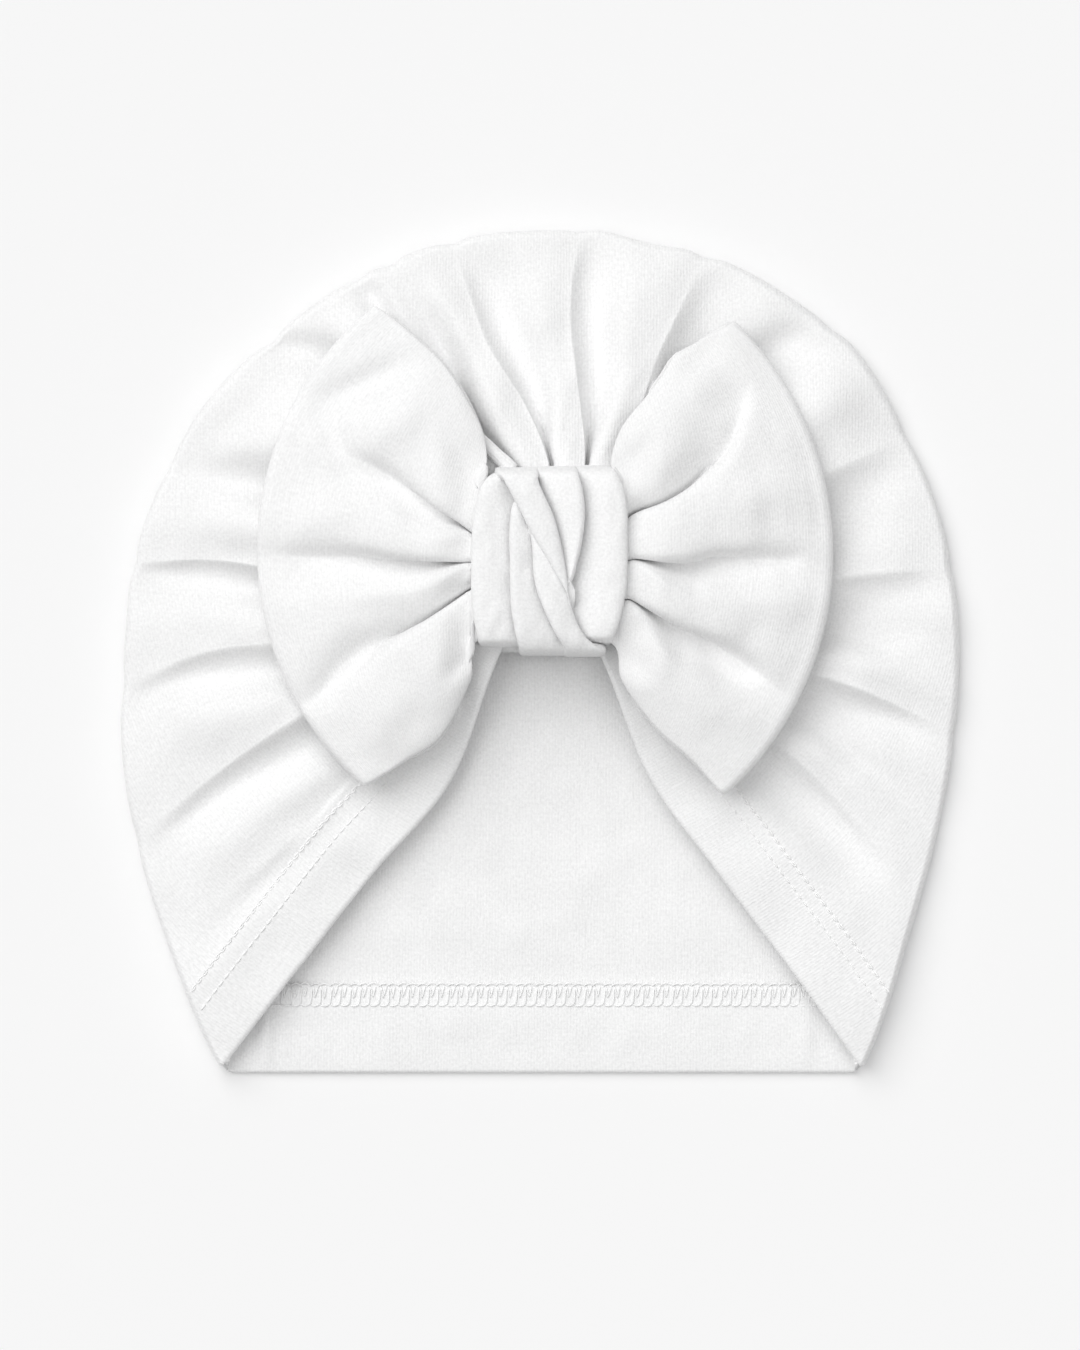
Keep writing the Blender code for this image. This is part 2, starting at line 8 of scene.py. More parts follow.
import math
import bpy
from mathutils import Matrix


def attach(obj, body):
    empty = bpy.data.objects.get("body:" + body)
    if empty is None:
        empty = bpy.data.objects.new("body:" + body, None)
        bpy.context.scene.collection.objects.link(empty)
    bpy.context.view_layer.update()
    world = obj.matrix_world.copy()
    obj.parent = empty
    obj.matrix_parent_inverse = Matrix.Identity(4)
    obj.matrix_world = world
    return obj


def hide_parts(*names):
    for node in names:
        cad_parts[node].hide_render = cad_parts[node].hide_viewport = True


bl_info = {
    "name": "Knitted headwrap",
    "version": (1, 0, 0),
    "blender": (4, 5, 0),
    "location": "View3D > Sidebar > Headwrap",
    "description": "Makes a baby's knitted headwrap with a bow and a knot",
    "category": "Add Mesh",
}

from collections import namedtuple

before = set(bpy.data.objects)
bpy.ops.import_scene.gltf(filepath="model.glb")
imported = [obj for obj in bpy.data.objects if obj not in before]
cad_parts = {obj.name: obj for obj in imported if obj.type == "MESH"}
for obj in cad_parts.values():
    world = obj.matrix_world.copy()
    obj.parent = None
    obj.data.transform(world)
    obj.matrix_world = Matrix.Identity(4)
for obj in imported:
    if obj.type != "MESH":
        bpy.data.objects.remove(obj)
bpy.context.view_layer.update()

import bmesh
import bpy
import numpy as np
from bpy.props import FloatProperty, FloatVectorProperty, PointerProperty
from mathutils import Vector, noise

# The tables below are in millimetres and degrees. The front's, the bow's and the knot's places
# are from the knot's middle, and the back's from the scene's.
MM = 0.001
KNOT = np.array((2.0, 19.3, 0.0))
CROWN_ANGLE = 90.0

# The cap's outline: the angle round the knot's middle and how far out it is there.
OUTLINE = (
    (237.3, 127.2), (225.8, 114.2), (215.2, 105.6), (204.0, 98.2), (192.0, 91.2),
    (180.0, 87.2), (166.0, 82.2), (154.9, 79.1), (141.5, 74.6), (125.6, 71.8),
    (107.3, 70.1), (89.8, 69.1), (81.2, 69.9), (72.3, 69.7), (63.8, 71.9), (45.5, 75.1),
    (35.7, 77.8), (19.5, 79.3), (7.0, 82.3), (-7.8, 86.5), (-21.5, 91.7), (-34.1, 98.7),
    (-46.8, 109.7), (-58.4, 125.3),
)

# Notches of the outline at the ends of creases: the angle and the depth.
NOTCHES = ((214.0, 0.4), (196.5, 0.5), (180.4, 0.6), (166.2, 0.4), (141.6, 0.9), (124.3, 0.5),
           (118.5, 0.7), (107.0, 0.8), (84.6, 0.4), (63.0, 0.8), (39.5, 0.5), (19.5, 0.4),
           (-1.0, 0.4), (-23.2, 0.3))
NOTCH_WIDTH = 2.0

# The height of the front's outer face at the knot, at the outline, at the lower corners and
# along the hems, and the lowest that a fold of it goes.
LOFT_AT_KNOT = 13.0
LOFT_AT_RIM = 3.9
LOFT_AT_CORNER = 5.0
LOFT_AT_HEM = 6.4
LEAST_LOFT = 2.2

# How far in from the hems and the lower corners their own heights reach.
HEM_DROP = 32.0
CORNER_REACH = 70.0

# The roll of the front round the outline: how wide it is, and narrower at the corners, the
# height where it is widest, how far it goes back under, and the share of the rows before it.
RIM_ROLL = 1.6
CORNER_ROLL = 1.5
RIM_MIDDLE_Z = 1.6
UNDER_ROLL = 2.0
FLAT_ROWS = 0.76

# The ring round the knot where the creases begin, and the thickness of one layer of cloth.
GATHER_RADIUS = 20.0
CLOTH = 0.75

# How high a panel between two creases swells, and how wide it is when it swells so high.
PUFF = 1.5
PUFF_WIDTH = 14.0

# A crease of the front: its angle at the gathers, at each quarter of the way and at the
# outline, its depth, how wide it is on its clockwise and on its other side, which side is a
# crest that the crease falls away from, its core, and the shares of the way out where it
# begins to fade, is gone and starts. The crest is 1 for the other side, -1 for the clockwise
# side and 0 for a plain dip. The core is how soft the crest is in millimetres, or the share of
# a plain dip that is a narrow line.
Crease = namedtuple("Crease", "stops depth clockwise counter crest core fades gone starts",
                    defaults=(0.0,))
CREASE_STOPS = (0.0, 0.25, 0.5, 0.75, 1.0)
CREASES = {
    "left_edge": Crease((242.0, 246.3, 241.0, 238.5, 237.2), 0.0, 1.0, 1.0, 0, 0.0, 1.0, 1.0),
    "left_seventh": Crease((229.0, 228.6, 227.9, 226.3, 225.0), 4.8, 5.5, 6.5, -1, 3.0, 0.50, 0.97),
    "left_sixth": Crease((210.0, 211.0, 211.6, 212.6, 214.0), 5.2, 5.0, 5.2, -1, 1.8, 0.55, 1.03),
    "left_fifth": Crease((198.0, 197.5, 196.8, 194.9, 196.5), 4.8, 4.5, 4.4, -1, 1.6, 0.55, 1.04),
    "left_fourth": Crease((183.0, 182.5, 182.0, 180.0, 180.4), 4.8, 4.5, 4.0, -1, 0.5, 0.62, 1.06),
    "left_third": Crease((165.0, 165.0, 165.3, 165.8, 166.2), 2.8, 5.0, 5.0, 0, 0.05, 0.50, 0.92),
    "left_second": Crease((135.0, 136.0, 137.0, 137.5, 141.6), 2.4, 4.0, 5.0, 0, 0.10, 0.80, 1.0),
    "left_first": Crease((125.5, 125.0, 124.0, 124.0, 124.3), 1.4, 2.5, 2.5, 0, 0.3, 0.9, 1.0, 0.7),
    "crown_zeroth": Crease((114.0, 119.0, 116.9, 117.6, 118.5), 3.6, 5.0, 5.0, 0, 0.1, 0.55, 0.88),
    "crown_first": Crease((90.6, 98.8, 105.6, 106.9, 107.0), 4.8, 4.6, 5.0, 1, 0.3, 0.62, 0.99),
    "crown_second": Crease((69.0, 78.5, 84.0, 85.5, 84.6), 4.8, 4.2, 5.0, 1, 0.3, 0.66, 1.01),
    "crown_third": Crease((52.0, 57.8, 61.8, 62.7, 63.0), 5.2, 6.8, 5.0, 1, 0.4, 0.66, 0.99),
    "right_first": Crease((38.0, 42.0, 43.5, 43.0, 39.5), 3.4, 6.0, 5.0, 0, 0.10, 0.76, 0.99),
    "right_second": Crease((17.0, 16.8, 17.2, 18.0, 19.5), 5.8, 8.6, 4.0, 1, 0.8, 0.55, 1.04),
    "right_third": Crease((-4.0, -4.0, -3.8, -1.9, -1.0), 5.8, 8.2, 4.0, 1, 0.3, 0.52, 1.05),
    "right_fourth": Crease((-14.0, -14.0, -14.0, -13.8, -13.5), 1.3, 3.5, 3.5, 0, 0.0, 0.6, 0.95),
    "right_fifth": Crease((-22.5, -22.5, -22.6, -22.4, -23.2), 5.6, 6.6, 4.0, 1, 0.4, 0.55, 1.02),
    "right_sixth": Crease((-31.5, -31.5, -31.5, -32.6, -34.4), 2.2, 4.0, 4.0, 0, 0.0, 0.60, 0.95),
    "right_seventh": Crease((-40.0, -38.2, -38.2, -40.2, -42.5), 5.6, 8.0, 4.0, 1, 0.5, 0.50, 0.98),
    "right_edge": Crease((-61.8, -65.6, -62.0, -59.6, -58.5), 0.0, 1.0, 1.0, 0, 0.0, 1.0, 1.0),
}

# Factors on the depth of all creases and on the width of the plain dips, the least width over
# which the cloth rises again behind a fold, and the power that joins creases that meet.
CREASE_DEPTH = 1.5
CREASE_SPREAD = 0.88
LEDGE_RISE = 5.2
CREASE_MIX = 3.0

# How far in from a hem the creases end, and are whole again.
CREASE_CLEAR_START = 9.0
CREASE_CLEAR_END = 23.0

# Soft swellings and hollows: where, how high, the half lengths along and across, and which
# way they run.
Swelling = namedtuple("Swelling", "x y height along across turn")
FRONT_SWELLINGS = (
    Swelling(-67.0, 17.5, -1.9, 9.0, 3.6, -12.0),
    Swelling(-63.0, 31.5, -1.1, 10.0, 3.4, 40.0),
    Swelling(-58.0, 24.0, 0.9, 9.0, 4.0, 15.0),
    Swelling(-54.0, 44.5, -1.7, 5.5, 2.4, 0.0),
    Swelling(-66.0, 7.0, 0.8, 8.0, 4.0, 0.0),
    Swelling(-30.0, 62.0, 0.7, 7.0, 5.0, 60.0),
    Swelling(-6.0, 60.0, -0.7, 6.0, 4.0, 75.0),
    Swelling(16.0, 56.0, 0.8, 9.0, 4.0, 80.0),
    Swelling(47.0, 45.0, -1.2, 8.0, 4.0, 35.0),
    Swelling(59.0, 33.6, 1.3, 8.0, 5.0, 30.0),
    Swelling(70.0, 8.0, -0.8, 8.0, 4.0, -10.0),
    Swelling(57.0, -45.0, -1.8, 20.0, 8.0, -50.0),
    Swelling(-70.0, -18.0, 0.8, 8.0, 4.0, 25.0),
    Swelling(-58.0, -66.0, 0.3, 12.0, 4.5, 50.0),
)

# The hems under the slanting edges: the radius of the fold, how far the doubled cloth stands
# up, how wide the hem is, how far in its rows of stitches run and how deep they sink in.
HEM_FOLD = 1.0
HEM_RISE = 0.55
SIDE_HEM = 15.6
STITCH_ROWS = {"left": (11.0, 15.0), "right": (10.8, 13.9)}
STITCH_GROOVE = 0.05
STITCH_GROOVE_WIDTH = 0.42

# How far from the knot's middle the stitches start, out of sight under the bow.
STITCHES_START = 58.0

# The seam under the knot that gathers the front, as a line up the middle.
SEAM_LOW_Y = -17.3
SEAM_TOP_Y = 13.0
SEAM_SPREAD = 0.3

# The back panel: its lower and upper edge, the radius of its lower fold, how far it stays
# inside the outline, how round its corners are, where its hem ends and its swellings.
BOTTOM_EDGE_Y = -88.3
BACK_TOP_Y = 84.5
BACK_FOLD = 0.8
BACK_INSET = 2.6
CORNER_ROUND = 2.2
BACK_HEM_TOP_Y = -69.8
BACK_SWELLINGS = (
    Swelling(-57.5, -79.0, 1.0, 1.3, 9.0, 0.0),
    Swelling(-52.0, -79.0, -0.2, 1.4, 7.0, 0.0),
    Swelling(-20.0, -79.0, 0.3, 9.0, 4.0, 12.0),
    Swelling(22.0, -80.0, 0.3, 12.0, 4.0, -8.0),
    Swelling(56.0, -80.0, 0.6, 2.0, 8.0, 0.0),
)

# The bow's loops: the upper and the lower edge as rows of the share of the way out, X and Y,
# and the middle and radius of the arc of the outer fold.
Loop = namedtuple("Loop", "upper lower arc_centre arc_radius")
LOOPS = {
    "left": Loop(
        ((-0.26, -0.3, 15.0), (0.0, -14.4, 16.8), (0.18, -13.0, 20.6), (0.36, -14.5, 27.8),
         (0.70, -23.2, 41.2), (1.0, -36.5, 52.1)),
        ((-0.26, -0.3, -14.5), (0.0, -15.6, -17.4), (0.20, -16.4, -25.0), (0.46, -23.0, -36.9),
         (0.74, -31.4, -42.3), (1.0, -39.7, -47.7)),
        (4.6, 2.0), 65.7),
    "right": Loop(
        ((-0.26, 0.3, 15.0), (0.0, 14.2, 16.6), (0.16, 12.8, 20.4), (0.26, 14.9, 27.1),
         (0.40, 20.2, 33.8), (0.50, 23.8, 38.4), (0.57, 26.3, 42.2), (0.66, 30.0, 44.2),
         (0.80, 34.6, 47.2), (1.0, 39.7, 50.4)),
        ((-0.26, 0.3, -14.5), (0.0, 13.0, -17.6), (0.20, 14.9, -25.0), (0.46, 21.2, -33.6),
         (0.74, 29.4, -41.0), (1.0, 36.3, -47.9)),
        (-8.5, 1.3), 67.7),
}

# A fold of a loop: its share of the loop's height from the knot's side to the outer fold, its
# depth, how wide it is below and above, on which side its lip is, with 1 above and -1 below,
# the share of a narrow line in its slope, and the shares of the way from the knot where it
# begins to fade and is gone.
LoopFold = namedtuple("LoopFold", "stops depth below above lip core fades gone")

# The share of a loop's way out where it comes clear of the knot, and those of a fold's stops.
KNOT_SIDE = 0.22
LOOP_STOPS = (KNOT_SIDE, 0.42, 0.61, 0.80, 1.0)
LOOP_FOLDS = {
    "left": (
        LoopFold((0.660, 0.683, 0.703, 0.713, 0.720), 5.0, 4.0, 3.5, 1, 0.4, 0.40, 0.90),
        LoopFold((0.537, 0.533, 0.507, 0.488, 0.480), 6.4, 4.0, 4.0, 1, 0.5, 0.50, 1.1),
        LoopFold((0.388, 0.355, 0.307, 0.236, 0.180), 7.4, 2.6, 6.0, -1, 0.5, 0.55, 1.1),
    ),
    "right": (
        LoopFold((0.660, 0.662, 0.715, 0.848, 0.950), 7.2, 2.6, 6.0, -1, 0.5, 0.36, 0.84),
        LoopFold((0.523, 0.482, 0.478, 0.487, 0.500), 6.4, 4.0, 4.0, 1, 0.5, 0.36, 1.05),
        LoopFold((0.365, 0.305, 0.268, 0.238, 0.210), 7.2, 4.5, 3.5, 1, 0.5, 0.48, 1.05),
    ),
}

LOOP_SWELLINGS = {
    "left": (
        Swelling(-33.0, 27.5, 2.4, 8.0, 5.0, 35.0),
        Swelling(-39.0, 36.0, -4.0, 10.0, 3.2, 25.0),
        Swelling(-45.0, 26.0, -1.8, 7.0, 3.0, -62.0),
        Swelling(-36.0, -3.0, 0.5, 14.0, 4.0, 0.0),
        Swelling(-41.0, 17.0, -0.9, 12.0, 3.2, -8.0),
        Swelling(-48.0, 8.0, 0.7, 9.0, 3.5, 5.0),
        Swelling(-44.0, -16.0, 0.8, 10.0, 4.0, 22.0),
        Swelling(-34.0, -33.0, 0.9, 9.0, 4.0, 52.0),
    ),
    "right": (
        Swelling(38.5, 33.5, -1.0, 6.0, 3.6, 32.0),
        Swelling(24.0, 30.0, 1.0, 10.0, 5.0, 48.0),
        Swelling(23.5, -16.5, -1.0, 5.0, 1.6, -42.0),
        Swelling(45.0, 14.0, 0.9, 12.0, 4.0, 12.0),
        Swelling(48.0, -8.0, 0.8, 10.0, 4.0, -6.0),
        Swelling(42.0, -28.0, 0.9, 10.0, 5.0, -40.0),
        Swelling(30.0, 40.0, -0.7, 7.0, 2.5, 50.0),
    ),
}

# The lip of a loop's fold: how steep its wall is, the share of the depth in the wall, how
# round it is over the wall, and how far it leans over the fold.
LIP_WALL = 0.8
LIP_SHARE = 0.9
LIP_ROUND = 2.4
LIP_LEAN = 1.3

# A loop: how far it lies over the front and sinks towards the knot, half the thickness of its
# cloth, its height at its two edges and at the outer fold, and how far it swells between.
LOOP_LIFT = 0.5
LOOP_SINK = 3.2
LOOP_HALF_CLOTH = 0.8
LOOP_EDGE_HEIGHT = 3.6
LOOP_FOLD_HEIGHT = 3.8
LOOP_PUFF = 5.0

# Each turn of the knot: its left and right side as rows of Y and X, how far each side stands
# over the knot's own height, how round it is, where it ends at the top and at the bottom, and
# how far its lower end bends down and over which length.
Turn = namedtuple("Turn", "left right stands_left stands_right crown top bottom dive bend",
                  defaults=(15.0, 2.4))
TURNS = {
    "knot_wrap_left": Turn(
        ((18.5, -11.8), (16.6, -14.0), (11.6, -15.9), (4.2, -16.7), (-6.3, -16.9),
         (-12.6, -16.3), (-18.0, -15.1)),
        ((18.5, -5.0), (11.3, -5.0), (4.4, -5.2), (-4.2, -5.0), (-12.8, -4.4), (-18.0, -3.2)),
        -1.5, -5.0, 1.1, 18.5, -18.4, 15.0, 1.6),
    "knot_wrap_right": Turn(
        ((19.8, 3.4), (13.2, 4.1), (6.3, 4.0), (-0.6, 3.0), (-6.5, 2.4), (-12.0, 2.6),
         (-18.2, 5.0)),
        ((19.8, 13.6), (14.7, 16.0), (6.3, 16.8), (-6.3, 16.4), (-13.7, 14.9), (-18.2, 13.1)),
        -4.6, -1.3, 1.2, 19.8, -18.2),
    "knot_fold_left": Turn(
        ((14.6, -6.6), (12.0, -7.8), (9.5, -8.6), (4.2, -8.8), (-6.3, -8.6), (-12.6, -8.0),
         (-19.2, -6.6)),
        ((13.0, -1.6), (4.4, -0.4), (-2.3, -0.2), (-9.2, 1.5), (-17.2, 4.7), (-19.2, 6.2)),
        0.0, -3.8, 0.8, 14.4, -20.1, 15.0, 1.5),
    "knot_fold_low": Turn(
        ((8.5, -6.0), (4.2, -4.5), (-5.3, -3.6), (-13.7, -0.4), (-19.2, 2.8)),
        ((8.5, -1.6), (4.4, 0.6), (-3.4, 3.8), (-9.9, 5.3), (-15.8, 8.0), (-19.4, 12.2)),
        0.9, -0.4, 0.6, 7.4, -20.4, 15.0, 1.5),
    "knot_fold_right": Turn(
        ((19.6, -3.8), (13.2, -2.2), (8.0, -0.4), (0.4, 0.8), (-5.9, 0.6), (-8.0, 0.4)),
        ((19.6, 6.0), (11.6, 7.7), (4.2, 7.4), (-1.4, 6.2), (-5.2, 4.9), (-8.0, 3.8)),
        -2.2, 0.6, 0.8, 19.5, -7.6, 8.0, 3.0),
    "knot_cross": Turn(
        ((19.4, -12.0), (18.5, -11.4), (10.5, -7.1), (5.3, -4.6), (-1.1, -0.8), (-7.4, 2.7),
         (-12.0, 4.4)),
        ((19.4, -2.0), (15.8, -1.5), (9.5, 1.3), (2.1, 3.4), (-5.3, 4.7), (-12.0, 5.2)),
        1.6, 1.4, 0.6, 19.2, -11.6, 8.0, 7.0),
}

# The knot's own form: its height in the middle and at its upper and lower foot, how far it
# reaches, how square its ends are and how far its sides fall.
KNOT_TOP_Z = 24.4
KNOT_FOOT_TOP = 13.4
KNOT_FOOT_LOW = 9.0
KNOT_HALF_HEIGHT = 20.4
KNOT_HALF_WIDTH = 17.0
KNOT_SQUARENESS = 5.5
KNOT_SIDE_FALL = 1.0

# How far the turns' upper ends bend down and over which length, how much rounder every turn
# is than its own number says, half the thickness of a turn and the lowest that one goes.
KNOT_DIVE = 10.0
KNOT_BEND = 2.8
TURN_CROWN = 0.5
TURN_HALF_CLOTH = 1.0
LEAST_TURN_Z = 3.4

# The room that the loops have under the knot.
UNDER_KNOT_GAP = 2.4
UNDER_KNOT_REACH = 12.0
UNDER_KNOT_FALL = 0.25

# Straight strips of the band: the start and end of the middle line, the width, how round it
# is, how far its ends sag and half the thickness.
Strip = namedtuple("Strip", "start end width crown sag half")
STRIPS = {
    "knot_inner_band": Strip((0.0, -19.4, 8.2), (0.0, 12.0, 8.2), 24.0, 0.3, 0.0, 0.6),
    "knot_tuck": Strip((-18.6, 28.6, 12.2), (-7.6, 18.6, 15.4), 2.6, 0.6, 0.3, 0.6),
}

# A record of how a cloth was cut, which no piece here uses: its width and length in metres,
# its area in square metres, how it is held and what it lies on.
Cut = namedtuple("Cut", "width length area held rests_on")

# The knit: from rib to rib, from course to course, and the cloth's length in one unit of the
# weave's coordinates.
RIB_SPACING = 0.63
COURSE_SPACING = 0.5
WEAVE_SIZE = 100.0

# Sewing threads: the sides of a thread and how thin its ends are.
THREAD_SIDES = 8
THREAD_END = 0.62

# The cover stitch: where it starts and ends, and the places of its lower and upper row.
LADDER_START_X = -58.5
LADDER_END_X = 57.0
LADDER_LOW = (-74.0, 1.74)
LADDER_TOP = (-70.1, 1.72)

# The light: how bright the sky is straight above and at the horizon, and where the window is,
# how strong it is and how wide its light is, in degrees.
SKY_ABOVE = 0.945
SKY_AROUND = 0.02
WINDOW_PLACE = (-0.58, 0.74, 1.05)
WINDOW_STRENGTH = 1.52
WINDOW_ANGLE = 54.0

# The camera, in millimetres of film and metres of the scene, and half the table's width.
CAMERA_LENS = 254.0
CAMERA_FILM = 36.0
CAMERA_Y = -0.00483
TABLE_HALF = 3.0


class HeadwrapSizes(bpy.types.PropertyGroup):
    """The sizes that a user would change."""
    stitch_pitch: FloatProperty(name="Stitch length", description="From stitch to stitch",
                                default=0.00205, min=0.001, max=0.006, unit="LENGTH")
    thread: FloatProperty(name="Thread", description="Thickness of the sewing thread",
                          default=0.00034, min=0.0001, max=0.001, unit="LENGTH")
    cloth: FloatProperty(name="Cloth", description="Thickness of one layer of the jersey",
                         default=CLOTH * MM, min=0.0003, max=0.002, unit="LENGTH")
    rumple: FloatProperty(name="Rumple", description="Depth of the small random creases",
                          default=1.0, min=0.0, max=3.0, subtype="FACTOR")
    eye_height: FloatProperty(name="Camera height", description="Height of the camera",
                              default=2.0, min=0.5, max=5.0, unit="LENGTH")


class HeadwrapColours(bpy.types.PropertyGroup):
    """The colours that a user would change."""
    cloth: FloatVectorProperty(name="Cloth", description="Colour of the jersey",
                               default=(0.92, 0.92, 0.92), min=0.0, max=1.0, subtype="COLOR")
    thread: FloatVectorProperty(name="Thread", description="Colour of the sewing thread",
                                default=(0.99, 0.99, 0.99), min=0.0, max=1.0, subtype="COLOR")
    table: FloatVectorProperty(name="Table", description="Colour of the table",
                               default=(0.93, 0.93, 0.93), min=0.0, max=1.0, subtype="COLOR")


def mix(a, b, share):
    """From a at share 0 to b at share 1."""
    return a + (b - a) * share


def ease(low, high, value):
    """0 below low, 1 above high and a smooth step between."""
    share = np.clip((value - low) / (high - low), 0.0, 1.0)
    return share * share * (3.0 - 2.0 * share)


def hill(distance, width):
    """1 in the middle, and a soft fall to 0 on both sides."""
    return np.exp(-((distance / width) ** 2))


def curve(rows, at):
    """A smooth curve through rows of a place and a value."""
    place, value = np.array(sorted(rows), float).T
    slope = np.empty_like(value)
    slope[1:-1] = (value[2:] - value[:-2]) / (place[2:] - place[:-2])
    slope[0] = (value[1] - value[0]) / (place[1] - place[0])
    slope[-1] = (value[-1] - value[-2]) / (place[-1] - place[-2])
    at = np.clip(at, place[0], place[-1])
    k = np.clip(np.searchsorted(place, at, side="right") - 1, 0, len(place) - 2)
    step = place[k + 1] - place[k]
    share = (at - place[k]) / step
    square, cube = share ** 2, share ** 3
    return ((2 * cube - 3 * square + 1) * value[k] + (cube - 2 * square + share) * step * slope[k]
            + (3 * square - 2 * cube) * value[k + 1] + (cube - square) * step * slope[k + 1])


def direction(angle):
    """The level unit vectors of angles."""
    turn = np.radians(angle)
    return np.stack((np.cos(turn), np.sin(turn), np.zeros_like(turn)), axis=-1)


def unit(vectors):
    """Vectors at length 1."""
    return vectors / np.maximum(np.linalg.norm(vectors, axis=-1, keepdims=True), 1e-9)


def run_of(steps):
    """How far along a line each point is, from the steps between its points."""
    return np.concatenate(([0.0], np.cumsum(steps)))


def rumple(points, size, seed):
    """Smooth noise from -1 to 1 at points, whose bumps are about size across."""
    flat = points.reshape(-1, points.shape[-1]) / size
    values = [noise.noise(Vector((float(x), float(y), seed))) for x, y in flat[:, :2]]
    return np.array(values).reshape(points.shape[:-1])


def outline_radius(angle):
    """How far the outline is from the knot's middle, with small notches at the creases."""
    notches = sum(depth * hill(angle - place, NOTCH_WIDTH) for place, depth in NOTCHES)
    return curve(OUTLINE, angle) - notches


def crease_angle(crease, out):
    """The angle of a crease at shares of the way out."""
    return curve(tuple(zip(CREASE_STOPS, crease.stops)), out)


def share_out(angle, radius):
    """The share of the way from the gathers to the outline."""
    return np.clip((radius - GATHER_RADIUS) / (outline_radius(angle) - GATHER_RADIUS), 0.0, 1.0)


def inset_of(angle, radius, out):
    """How far a point of the front lies from the nearer edge of the face opening."""
    from_left = crease_angle(CREASES["left_edge"], out) - angle
    from_right = angle - crease_angle(CREASES["right_edge"], out)
    return np.radians(np.minimum(from_left, from_right)) * radius


def dip(distance, narrow, wide, core):
    """The shape of one side of a crease: a narrow core in a wide, soft slope."""
    return (core * np.exp(-(distance / narrow) ** 1.6)
            + (1.0 - core) * np.exp(-(distance / wide) ** 1.7))


def hollow(distance, wide):
    """The shape of the cloth under a lip: a flat floor and a soft rise."""
    return np.exp(-(distance / wide) ** 2.4)


def ledge(distance, drop, rise, soft):
    """The shape of a fold beside a crest: a slope down, soft at its top, and then a rise."""
    down = np.clip((np.sqrt(distance ** 2 + soft ** 2) - soft) / drop, 0.0, 1.0)
    down = (down + np.sin(math.pi / 2.0 * down)) / 2.0
    return down * np.exp(-(np.maximum(distance - drop - 0.5 * soft, 0.0) / rise) ** 1.8)


def crease_pull(angle, radius, out):
    """How far the creases pull the front down."""
    pull = np.zeros_like(angle)
    clear = ease(np.minimum(CREASE_CLEAR_START, 0.35 * radius),
                 np.minimum(CREASE_CLEAR_END, 0.75 * radius), inset_of(angle, radius, out))
    near = ease(5.0, GATHER_RADIUS, radius)
    # Creases are narrow at the gathers and open on their way out, and crests close again.
    spread = np.clip(radius / 58.0, 0.2, 1.25) ** 1.3
    narrow = mix(0.7, 1.8, out ** 2)
    opening = mix(0.1, 1.0, ease(21.0, 46.0, radius))
    closing = mix(1.0, 0.45, ease(58.0, 84.0, radius))
    for crease in CREASES.values():
        if not crease.depth:
            continue
        away = np.radians(angle - crease_angle(crease, out)) * radius
        strength = near * clear * (1.0 - ease(crease.fades, crease.gone, out))
        if crease.starts:
            strength = strength * ease(crease.starts, crease.starts + 0.15, out)
        if crease.crest:
            width = crease.counter if crease.crest < 0 else crease.clockwise
            rise = max(width, LEDGE_RISE) * opening * mix(1.0, 1.7, ease(0.6, 1.0, out))
            fall = ledge(np.abs(away), width * opening * closing, rise, crease.core * opening)
            shape = np.where(away * crease.crest > 0.0, 0.0, fall)
        else:
            wide = np.where(away > 0.0, crease.counter, crease.clockwise) * spread
            core = crease.core * (1.0 - ease(0.6, 0.95, out))
            shape = dip(np.abs(away), narrow, CREASE_SPREAD * wide, core)
        pull += (CREASE_DEPTH * crease.depth * strength * shape) ** CREASE_MIX
    return pull ** (1.0 / CREASE_MIX)


def swell(plan, swellings):
    """How far soft swellings and hollows lift points of a cloth seen from above."""
    lift = np.zeros(plan.shape[:-1])
    for s in swellings:
        turn = math.radians(s.turn)
        dx, dy = plan[..., 0] - s.x, plan[..., 1] - s.y
        u = dx * math.cos(turn) + dy * math.sin(turn)
        v = dy * math.cos(turn) - dx * math.sin(turn)
        lift = lift + s.height * hill(u, s.along) * hill(v, s.across)
    return lift


def panel_puff(angle, radius, out):
    """How far the cloth between two creases swells up."""
    angles = np.stack([crease_angle(crease, out) for crease in CREASES.values()])
    k = np.clip((angles > angle).sum(axis=0) - 1, 0, len(angles) - 2)
    start = np.take_along_axis(angles, k[None], axis=0)[0]
    end = np.take_along_axis(angles, k[None] + 1, axis=0)[0]
    share = np.clip((start - angle) / np.maximum(start - end, 0.1), 0.0, 1.0)
    width = np.radians(start - end) * radius
    round_up = PUFF * np.clip(width / PUFF_WIDTH, 0.0, 1.2) * np.sin(math.pi * share) ** 2
    clear = ease(6.0, 24.0, inset_of(angle, radius, out))
    return round_up * clear * mix(1.0, 0.35, ease(0.7, 1.0, out))


def corner_nearness(point):
    """1 at the front's two lower corners and 0 far from them."""
    near = np.zeros(point.shape[:-1])
    for name in ("left_edge", "right_edge"):
        angle = CREASES[name].stops[-1]
        corner = direction(np.array(angle)) * outline_radius(angle)
        away = np.linalg.norm(point[..., :2] - corner[:2], axis=-1)
        near = np.maximum(near, 1.0 - ease(0.0, CORNER_REACH, away))
    return near


